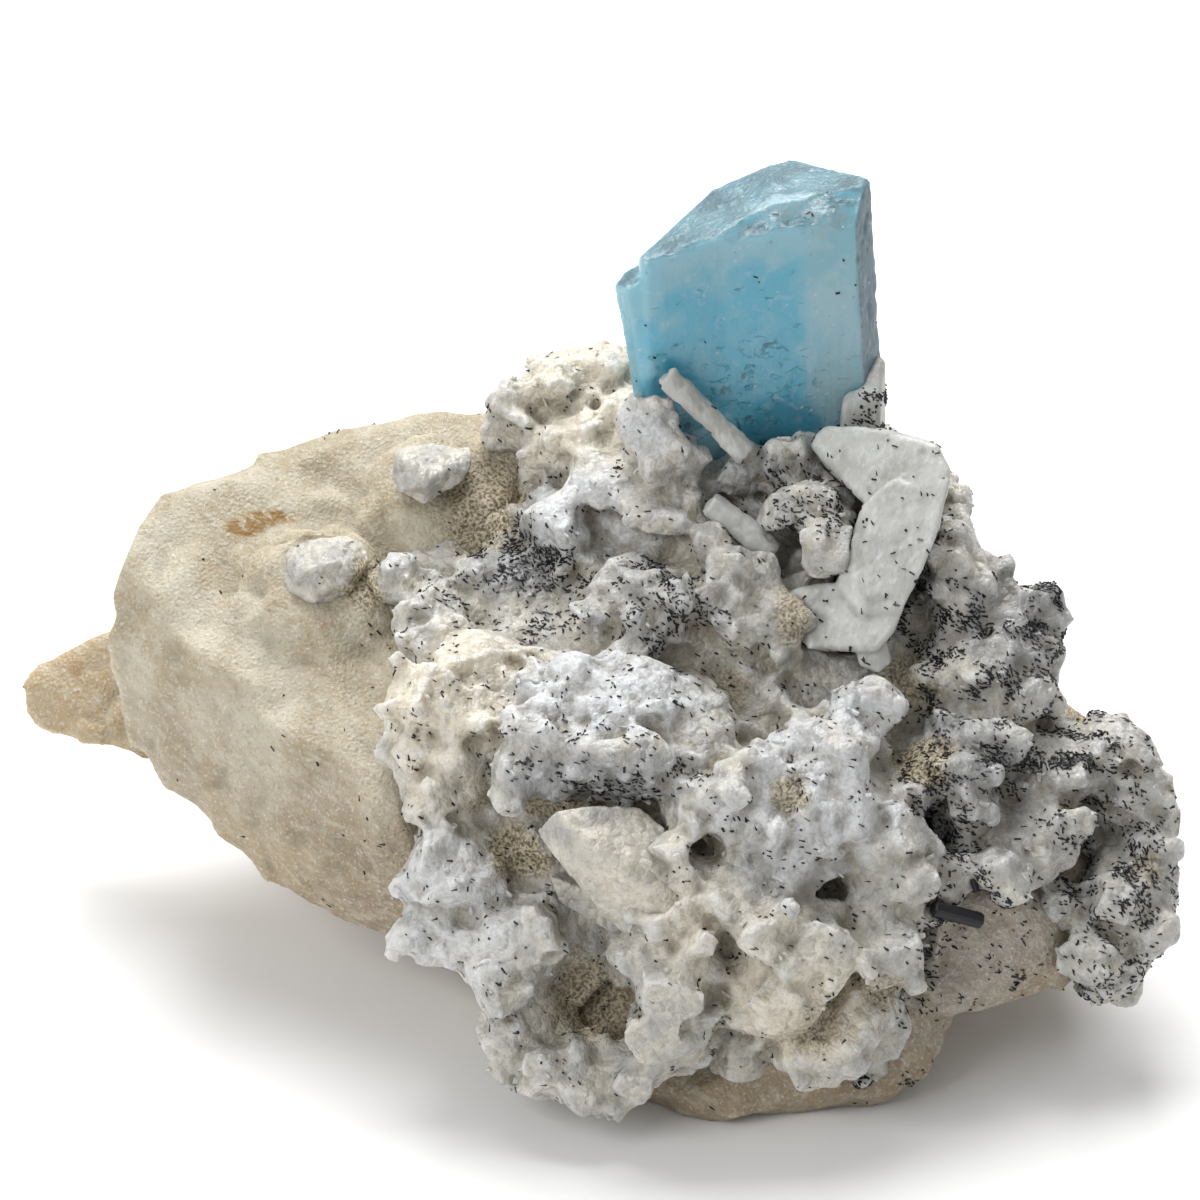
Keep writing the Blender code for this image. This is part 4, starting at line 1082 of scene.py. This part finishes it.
def beryl_material(looks):
    """Aquamarine: clear blue beryl clouded by healed cracks. The top is etched and frosty, the
    faces carry faint upright growth lines, and the blue deepens towards the foot."""
    material, tree, shader = new_material("Aquamarine, clouded")
    place = add_node(tree, "ShaderNodeTexCoord").outputs["Object"]
    share = {
        name: add_node(tree, "ShaderNodeAttribute", attribute_name=name).outputs["Fac"]
        for name in ("top", "side", "heart", "deep", "pale", "frost", "edge", "pitted")
    }
    cloud = add_node(tree, NOISE, {"Vector": place, "Scale": per_mm(3.2), "Detail": 5.0})
    veil = add_node(tree, NOISE, {
        "Vector": place, "Scale": per_mm(1.4), "Detail": 5.0, "Distortion": 1.2,
    })
    upright = add_node(tree, "ShaderNodeMapping", {"Vector": place, "Scale": (1, 1, 0.06)})
    line = add_node(tree, NOISE, {"Vector": upright, "Scale": per_mm(0.35), "Detail": 3.0})
    fleck = add_node(tree, VORONOI, {"Vector": place, "Scale": per_mm(1.15)})
    # Shallow chips with ragged edges, wider than tall, more of them low on the faces.
    flat = add_node(tree, "ShaderNodeMapping", {"Vector": place, "Scale": (0.6, 0.6, 1.2)})
    chip = add_node(tree, NOISE, {
        "Vector": flat, "Scale": per_mm(0.85), "Detail": 3.0, "Distortion": 0.6,
    })
    least = add_node(tree, RANGE, {"Value": share["pitted"], "To Min": 0.68, "To Max": 0.58})
    most = add_node(tree, MATH, {0: least, 1: 0.06}, operation="ADD")
    chipped = add_node(tree, RANGE, {"Value": chip, "From Min": least, "From Max": most})
    chips = add_node(tree, NOISE, {"Vector": place, "Scale": per_mm(0.45), "Detail": 3.0})
    veils = add_node(tree, RANGE, {
        "Value": veil, "From Min": 0.56, "From Max": 0.74, "To Max": 0.4,
    })
    clouds = add_node(tree, RANGE, {
        "Value": cloud, "From Min": 0.48, "From Max": 0.7, "To Max": 0.5,
    })
    lines = add_node(tree, RANGE, {
        "Value": line, "From Min": 0.5, "From Max": 0.75, "To Max": 0.08,
    })
    # Painted glints: sparse bright flecks 0.4 mm across, where a crack turns to the light.
    bright = add_node(tree, RANGE, {
        "Value": fleck, "From Min": 0.2, "From Max": 0.1, "To Max": 0.85,
    })
    chosen = add_node(tree, RANGE, {
        "Value": veil, "From Min": 0.52, "From Max": 0.6,
    })
    bright = add_node(tree, MATH, {0: bright, 1: chosen}, operation="MULTIPLY")
    # Dark teal pits 1 mm across, where the cracks near the foot swallow the light.
    pit = add_node(tree, NOISE, {
        "Vector": place, "Scale": per_mm(1.3), "Detail": 3.0, "Distortion": 0.8,
    })
    pits = add_node(tree, RANGE, {"Value": pit, "From Min": 0.6, "From Max": 0.7, "To Max": 0.7})
    pits = add_node(tree, MATH, {0: pits, 1: share["pitted"]}, operation="MULTIPLY")
    frost = add_node(tree, MATH, {0: share["frost"], 1: chips}, operation="MULTIPLY")
    frost = add_node(tree, RANGE, {"Value": frost, "From Min": 0.25, "From Max": 0.5})
    # The side colour is painted shade on the right face; the bright flecks are painted glints.
    base = layered(tree, [
        looks.skin, (share["heart"], looks.heart), (clouds, looks.skin),
        (share["deep"], looks.deep), (share["pale"], looks.veil), (share["side"], looks.side),
        (share["top"], looks.top), (veils, looks.veil), (lines, looks.skin),
        (share["edge"], looks.rim), (frost, looks.frost), (bright, looks.veil),
        (pits, looks.pit),
    ])
    tree.links.new(base.outputs[2], shader.inputs["Base Color"])
    rough = add_node(tree, MATH, {0: share["top"], 1: 2.2}, operation="MULTIPLY")
    rough = add_node(tree, MATH, {0: rough, 1: 0.35}, operation="ADD")
    height = add_node(tree, MATH, {0: chips, 1: rough}, operation="MULTIPLY")
    faint = add_node(tree, MATH, {0: line, 1: 0.3}, operation="MULTIPLY")
    height = add_node(tree, MATH, {0: height, 1: faint}, operation="ADD")
    sunk = add_node(tree, MATH, {0: chipped, 1: 1.8}, operation="MULTIPLY")
    height = add_node(tree, MATH, {0: height, 1: sunk}, operation="SUBTRACT")
    bump = add_node(tree, "ShaderNodeBump", {"Strength": 0.6, "Distance": 0.0002, "Height": height})
    tree.links.new(bump.outputs[0], shader.inputs["Normal"])
    dull = add_node(tree, MATH, {0: share["top"], 1: share["side"]}, operation="MAXIMUM")
    gloss = add_node(tree, RANGE, {"Value": dull, "To Min": 0.14, "To Max": 0.55})
    tree.links.new(gloss.outputs[0], shader.inputs["Roughness"])
    shader.inputs["IOR"].default_value = 1.575
    shader.inputs["Transmission Weight"].default_value = 0.2
    shader.inputs["Subsurface Weight"].default_value = 0.6
    shader.inputs["Subsurface Radius"].default_value = (0.5, 0.9, 1.0)
    shader.inputs["Subsurface Scale"].default_value = 2.5 * MM
    soak = add_node(tree, "ShaderNodeVolumeAbsorption", {"Color": looks.soaked})
    soak.inputs["Density"].default_value = looks.density
    tree.links.new(soak.outputs[0], tree.nodes["Material Output"].inputs["Volume"])
    return material


# ---------------------------------------------------------------- operators


def finish_piece(obj, material, node):
    """Gives a finished mesh its material and its body, and hides the solid that it stands for."""
    obj.data.materials.clear()
    obj.data.materials.append(material)
    smooth_faces(obj.data)
    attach(obj, "root")
    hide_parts(node)


def dress_rock(obj, spots):
    """Stores on a rock skin how much of each patch and crease its points have."""
    mesh = obj.data
    points = points_of(mesh)
    for seed, (name, where) in enumerate(spots.items()):
        store(mesh, name, patch(points, where, seed=seed + 3))
    store(mesh, "hollow", hollowness(mesh, rounds=9, span=0.3))
    store(mesh, "depth", hollowness(mesh, rounds=160, span=1.6))


class SPECIMEN_OT_quartz(bpy.types.Operator):
    """Builds the quartz mass from its solid"""

    bl_idname = "specimen.quartz"
    bl_label = "Quartz mass"

    def execute(self, context):
        looks = context.scene.rock_looks
        quartz = quartz_material(looks)
        obj = welded_copy("quartz_matrix", "quartz_mass")
        grown_skin(obj, looks.quartz_grid, grow=0.3, smoothing=6)
        points = points_of(obj.data)
        # The fracture is smooth on the top and blocky low on the flanks.
        low = np.clip((26 - points[:, 2]) / 14, 0, 1)
        store(obj.data, "rough", 0.22 + 0.12 * waves(points, 9, 4) + 0.4 * low)
        rise = patch(points, RISES, ragged=0.1)
        points[:, 2] += rise * (normals_of(obj.data)[:, 2] > 0.2)
        move_points(obj.data, points)
        # Quartz breaks into larger steps than the crust's crystals.
        run_tree(obj, blocky_relief_tree(), {
            "Block size": looks.block_size * 2.2, "Block height": looks.block_height * 2.6,
            "Grain size": looks.grain_size * 1.5, "Grain height": looks.grain_height * 1.3,
            "Seed": 3.0, "Material": quartz,
        })
        keep_in_box(obj)
        dress_rock(obj, {"clay": CLAY, "bare": BARE, "spur": SPUR, "iron": IRON})
        finish_piece(obj, quartz, "quartz_matrix")
        return {"FINISHED"}


class SPECIMEN_OT_crust(bpy.types.Operator):
    """Builds the knobbed albite crust from its solid"""

    bl_idname = "specimen.crust"
    bl_label = "Albite crust"

    def execute(self, context):
        looks = context.scene.rock_looks
        quartz = bpy.data.objects.get("quartz_mass")
        if quartz is None:
            raise RuntimeError("build the quartz mass first")
        albite = crust_material(looks)
        obj = welded_copy("albite_crust", "albite_knobs")
        add_knobs(obj)
        split_long_edges(obj, longest=1.5)
        points = points_of(obj.data)
        # The lobes at the front foot are smoother, with fewer small crystals on them.
        foot = np.clip((25 - points[:, 2]) / 6, 0, 1) * np.clip((-13 - points[:, 1]) / 5, 0, 1)
        store(obj.data, "druse", (0.75 + 0.5 * waves(points, 6, 17)) * (1 - 0.6 * foot))
        plain = obj.data.copy()
        run_tree(obj, scatter_tree("druse", sides=6, taper=0.8, lean=0.45), {
            "Crystals per square metre": looks.druse_per_cm2 * 1e4, "Length": looks.druse_length,
            "Thickness": looks.druse_width, "Seed": 4, "Material": albite,
        })
        bm = bmesh.new()
        bm.from_mesh(obj.data)
        bm.from_mesh(plain)
        add_blades(bm)
        bm.to_mesh(obj.data)
        bm.free()
        bpy.data.meshes.remove(plain)
        grown_skin(obj, looks.crust_grid, grow=0.1, smoothing=4)
        wear_down(obj.data, most=0.12, rounds=3)
        points = points_of(obj.data)
        store(obj.data, "rough", 0.85 + 0.35 * waves(points, 7, 9))
        run_tree(obj, blocky_relief_tree(), {
            "Block size": looks.block_size, "Block height": looks.block_height,
            "Grain size": looks.grain_size, "Grain height": looks.grain_height, "Seed": 11.0,
            "Material": albite,
        })
        keep_in_box(obj)
        thin_hidden(obj, quartz, depth=2.2)
        thin_hidden(quartz, obj, depth=2.2)
        dress_rock(obj, {"clay": CLAY, "snow": SNOW, "cream": CREAM, "grey": GREY})
        finish_piece(obj, albite, "albite_crust")
        return {"FINISHED"}


class SPECIMEN_OT_albite_crystals(bpy.types.Operator):
    """Builds the single albite crystals and lumps from their solids"""

    bl_idname = "specimen.albite_crystals"
    bl_label = "Albite crystals"

    def execute(self, context):
        looks = context.scene.crystal_looks
        blades = albite_crystal_material(looks)
        lumps = crust_material(context.scene.rock_looks)
        # Each solid and its piece, how far it grows in millimetres, how strong its relief is,
        # and how many times it is smoothed.
        for node, name, growth, relief, smoothing in (
            ("bent_albite_crystal", "bent_albite", 0.12, 1.0, 3),
            ("leaning_albite_prism", "leaning_albite", 0.15, 1.8, 3),
            ("central_albite_prism", "central_albite", 0.15, 1.8, 3),
            ("albite_block", "albite_stub", 0.15, 0.7, 3),
            ("albite_lump_left", "left_lump", 0.25, 2.0, 5),
            ("albite_lump_upper", "upper_lump", 0.25, 2.0, 5),
            ("curved_albite_plate", "curved_plate", 0.25, 1.0, 9),
        ):
            lump = "lump" in name or "plate" in name
            albite = lumps if lump else blades
            obj = grown_skin(angular_shape(node, name), looks.grid, growth, smoothing)
            points = points_of(obj.data)
            store(obj.data, "rough", relief * (0.7 + 0.3 * waves(points, 2.5, 2)))
            run_tree(obj, blocky_relief_tree(), {
                "Block size": 2.4 * MM, "Block height": looks.wear,
                "Grain size": 0.8 * MM, "Grain height": looks.wear * 0.25, "Seed": 5.0,
                "Material": albite,
            })
            keep_in_box(obj)
            if lump:
                dress_rock(obj, {"clay": CLAY, "snow": [], "cream": CREAM, "grey": []})
            else:
                store(obj.data, "hollow", hollowness(obj.data, rounds=9, span=0.3))
            finish_piece(obj, albite, node)
        return {"FINISHED"}


class SPECIMEN_OT_schorl(bpy.types.Operator):
    """Dresses the five larger schorl crystals"""

    bl_idname = "specimen.schorl"
    bl_label = "Larger schorl crystals"

    def execute(self, context):
        black = schorl_material(context.scene.needle_looks)
        for name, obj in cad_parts.items():
            if name.startswith("schorl_crystal"):
                obj.data.materials.clear()
                obj.data.materials.append(black)
        return {"FINISHED"}


class SPECIMEN_OT_beryl(bpy.types.Operator):
    """Builds the aquamarine crystal from its solid"""

    bl_idname = "specimen.beryl"
    bl_label = "Aquamarine crystal"

    def execute(self, context):
        looks = context.scene.beryl_looks
        obj = welded_copy("aquamarine_crystal", "aquamarine")
        grown_skin(obj, looks.grid, grow=0.05, smoothing=2)
        mesh = obj.data
        points = points_of(mesh)
        # The top slopes down to the left, the right face spreads towards its foot, and the front
        # rim of the top is worn back by one to two millimetres.
        x, y, z = points.T
        drop = np.clip((15.4 - x) * 0.2, 0, 2.6) * np.clip((z - 60) / 11, 0, 1)
        spread = np.clip((x - 17) / 7, 0, 1) * np.clip((71 - z) / 14, 0, 1.2) * 0.6
        from_front = (y - 8 - (x - 3.8) * 0.229) / 1.026
        rim = 1.3 + 0.7 * waves(points, 3.4, 14) + 0.4 * waves(points, 1.2, 15)
        over = np.clip(rim - from_front - (71 - z), 0, 2) * 0.5
        points = points + np.stack([spread, over, -drop - over], axis=1)
        move_points(mesh, points)
        facing = normals_of(mesh)
        top = np.clip((facing[:, 2] - 0.6) / 0.25, 0, 1)
        # The right face is coloured a darker grey-blue as painted shade, and etched deeper.
        side = np.clip((facing[:, 0] - 0.45) / 0.3, 0, 1) * (1 - top)
        pits = np.maximum(waves(points, 1.1, 3), 0) + 0.6 * np.maximum(waves(points, 0.6, 8), 0)
        nicks = 0.3 + 0.8 * top + 0.9 * side
        points = points - facing * (pits * nicks)[:, None] * looks.etch / MM
        move_points(mesh, points)
        store(mesh, "top", top * (0.75 + 0.25 * waves(points, 2, 5)))
        store(mesh, "side", side * 0.8)
        store(mesh, "heart", patch(points, [("heart", (12.5, 9, 58.5), (8, 9, 8.5), 0.9)], 0.3, 2))
        store(mesh, "deep", patch(points, [
            ("right foot", (17, 10, 49.5), (4.6, 6, 3), 0.85),
            ("left foot", (6.5, 8, 55), (2, 4, 3), 0.55),
        ], 0.5, 6))
        store(mesh, "pale", patch(points, [
            ("right third", (21, 10, 58), (2.6, 5, 9), 0.45),
            ("above the heart", (12, 9, 68.5), (9, 4, 2), 0.2),
        ], 0.5, 8))
        store(mesh, "pitted", patch(points, [("lower half", (13, 9, 53), (9, 9, 6), 1)], 0.5, 9))
        store(mesh, "frost", patch(points, [
            ("frosty patch", (17, 13, 71), (3.6, 1.6, 1.5), 1),
            ("cream corner", (20.5, 12, 70), (1.8, 1.6, 1.6), 0.8),
            ("rim", (14, 10.3, 70), (6, 0.9, 0.8), 0.4),
        ], 0.5, 12))
        sharp = -hollowness(mesh, rounds=6, span=0.3)
        store(mesh, "edge", np.clip(sharp * 3 - 0.25, 0, 0.35))
        keep_in_box(obj)
        finish_piece(obj, beryl_material(looks), "aquamarine_crystal")
        return {"FINISHED"}


class SPECIMEN_OT_needles(bpy.types.Operator):
    """Dusts the rock with schorl needles and small albite crystals"""

    bl_idname = "specimen.needles"
    bl_label = "Needles and grains"

    def execute(self, context):
        looks = context.scene.needle_looks
        hosts = [bpy.data.objects.get(name) for name in HOLDS]
        if None in hosts:
            raise RuntimeError("build the rock, the albite crystals and the aquamarine first")
        counts = [len(host.data.vertices) for host in hosts]
        needle_hold, grain_hold = np.repeat(list(HOLDS.values()), counts, axis=0).T
        lying = scatter_tree("needles", sides=3, taper=0.8, lean=1.0)
        black = schorl_material(looks)
        standing = scatter_tree("grains", sides=5, taper=0.6, lean=0.3)
        white = bpy.data.materials["Albite, grown in knobs"]
        for name, tree, per_cm2, long, thick, material, slot in (
            ("schorl_needles", lying, looks.per_cm2, looks.needle, looks.thickness, black,
             "schorl"),
            ("albite_grains", standing, looks.grains_per_cm2, looks.grain, looks.grain * 0.8,
             white, "albite_crust"),
        ):
            bm = bmesh.new()
            for host in hosts:
                bm.from_mesh(host.data)
            mesh = bpy.data.meshes.new(name)
            bm.to_mesh(mesh)
            bm.free()
            obj = link_new(name, mesh)
            points = points_of(mesh)
            if slot == "schorl":
                clumps = 0.5 + np.clip(waves(points, 1.6, 31) * 1.6, -0.5, 1)
                store(mesh, "needles", needle_hold * patch(points, NEEDLES, 0.5, 21) * clumps)
            else:
                store(mesh, "grains", grain_hold * (0.5 + 0.5 * waves(points, 3, 41)))
            run_tree(obj, tree, {
                "Crystals per square metre": per_cm2 * 1e4, "Length": long, "Thickness": thick,
                "Seed": looks.seed, "Material": material,
            })
            if not obj.data.polygons:
                raise RuntimeError(f"{name} came out empty")
            keep_in_box(obj)
            if slot != "schorl":
                dress_rock(obj, {"clay": CLAY, "snow": SNOW, "cream": CREAM, "grey": GREY})
                for flat in ("hollow", "depth"):
                    store(obj.data, flat, np.zeros(len(obj.data.vertices)))
            smooth_faces(obj.data, False)
            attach(obj, "root")
        return {"FINISHED"}


def aim_from(obj, place, aim):
    """Puts a lamp or camera here and points it at the aim."""
    obj.location = place
    obj.rotation_euler = (Vector(aim) - obj.location).to_track_quat("-Z", "Y").to_euler()


class SPECIMEN_OT_stage(bpy.types.Operator):
    """Makes the white table, the soft light and the camera"""

    bl_idname = "specimen.stage"
    bl_label = "Studio"

    def execute(self, context):
        looks, scene = context.scene.stage_looks, context.scene
        mesh = bpy.data.meshes.new("table")
        bm = bmesh.new()
        bmesh.ops.create_grid(bm, x_segments=1, y_segments=1, size=3.0)
        bm.to_mesh(mesh)
        bm.free()
        table = link_new("table", mesh)
        white, _, shader = new_material("Matt white board")
        shader.inputs["Base Color"].default_value = looks.floor
        shader.inputs["Roughness"].default_value = 0.9
        shader.inputs["Specular IOR Level"].default_value = 0.1
        mesh.materials.append(white)
        world = bpy.data.worlds.new("White room")
        world.use_nodes = True
        room = world.node_tree.nodes["Background"].inputs
        room["Strength"].default_value = looks.fill
        room["Color"].default_value = (1, 1, 1, 1)
        scene.world = world
        for name, place, width, share in LAMPS:
            lamp = bpy.data.lights.new(name, "AREA")
            lamp.size, lamp.energy = width, looks.key * share
            aim_from(link_new(name, lamp), place, LAMP_AIM)
        camera = bpy.data.cameras.new("camera")
        camera.lens, camera.sensor_width, camera.clip_start = 140, 36, 0.01
        scene.camera = link_new("camera", camera)
        aim_from(scene.camera, CAMERA_PLACE, CAMERA_AIM)
        scene.view_settings.view_transform = "Standard"
        return {"FINISHED"}


# ---------------------------------------------------------------- panel and running order


class SPECIMEN_PT_panel(bpy.types.Panel):
    """Lists the pieces of the specimen and their sizes and colours"""

    bl_label = "Aquamarine specimen"
    bl_idname = "SPECIMEN_PT_panel"
    bl_space_type = "VIEW_3D"
    bl_region_type = "UI"
    bl_category = "Specimen"

    def draw(self, context):
        for group, operators in PANEL_ROWS:
            box = self.layout.box()
            looks = getattr(context.scene, group)
            for name in looks.__annotations__:
                box.prop(looks, name)
            for operator in operators:
                box.operator(operator)


PANEL_ROWS = (
    ("rock_looks", ("specimen.quartz", "specimen.crust")),
    ("crystal_looks", ("specimen.albite_crystals",)),
    ("beryl_looks", ("specimen.beryl",)),
    ("needle_looks", ("specimen.schorl", "specimen.needles")),
    ("stage_looks", ("specimen.stage",)),
)
LOOKS = {
    "rock_looks": RockLooks, "crystal_looks": CrystalLooks, "beryl_looks": BerylLooks,
    "needle_looks": NeedleLooks, "stage_looks": StageLooks,
}
CLASSES = (
    *LOOKS.values(), SPECIMEN_OT_quartz, SPECIMEN_OT_crust, SPECIMEN_OT_albite_crystals,
    SPECIMEN_OT_schorl, SPECIMEN_OT_beryl, SPECIMEN_OT_needles, SPECIMEN_OT_stage,
    SPECIMEN_PT_panel,
)


def register():
    for made in CLASSES:
        bpy.utils.register_class(made)
    for name, made in LOOKS.items():
        setattr(bpy.types.Scene, name, PointerProperty(type=made))


def unregister():
    for name in LOOKS:
        delattr(bpy.types.Scene, name)
    for made in reversed(CLASSES):
        bpy.utils.unregister_class(made)


def main():
    register()
    bpy.ops.specimen.stage()
    bpy.ops.specimen.quartz()
    bpy.ops.specimen.crust()
    bpy.ops.specimen.albite_crystals()
    bpy.ops.specimen.schorl()
    bpy.ops.specimen.beryl()
    bpy.ops.specimen.needles()


if __name__ == "__main__":
    main()
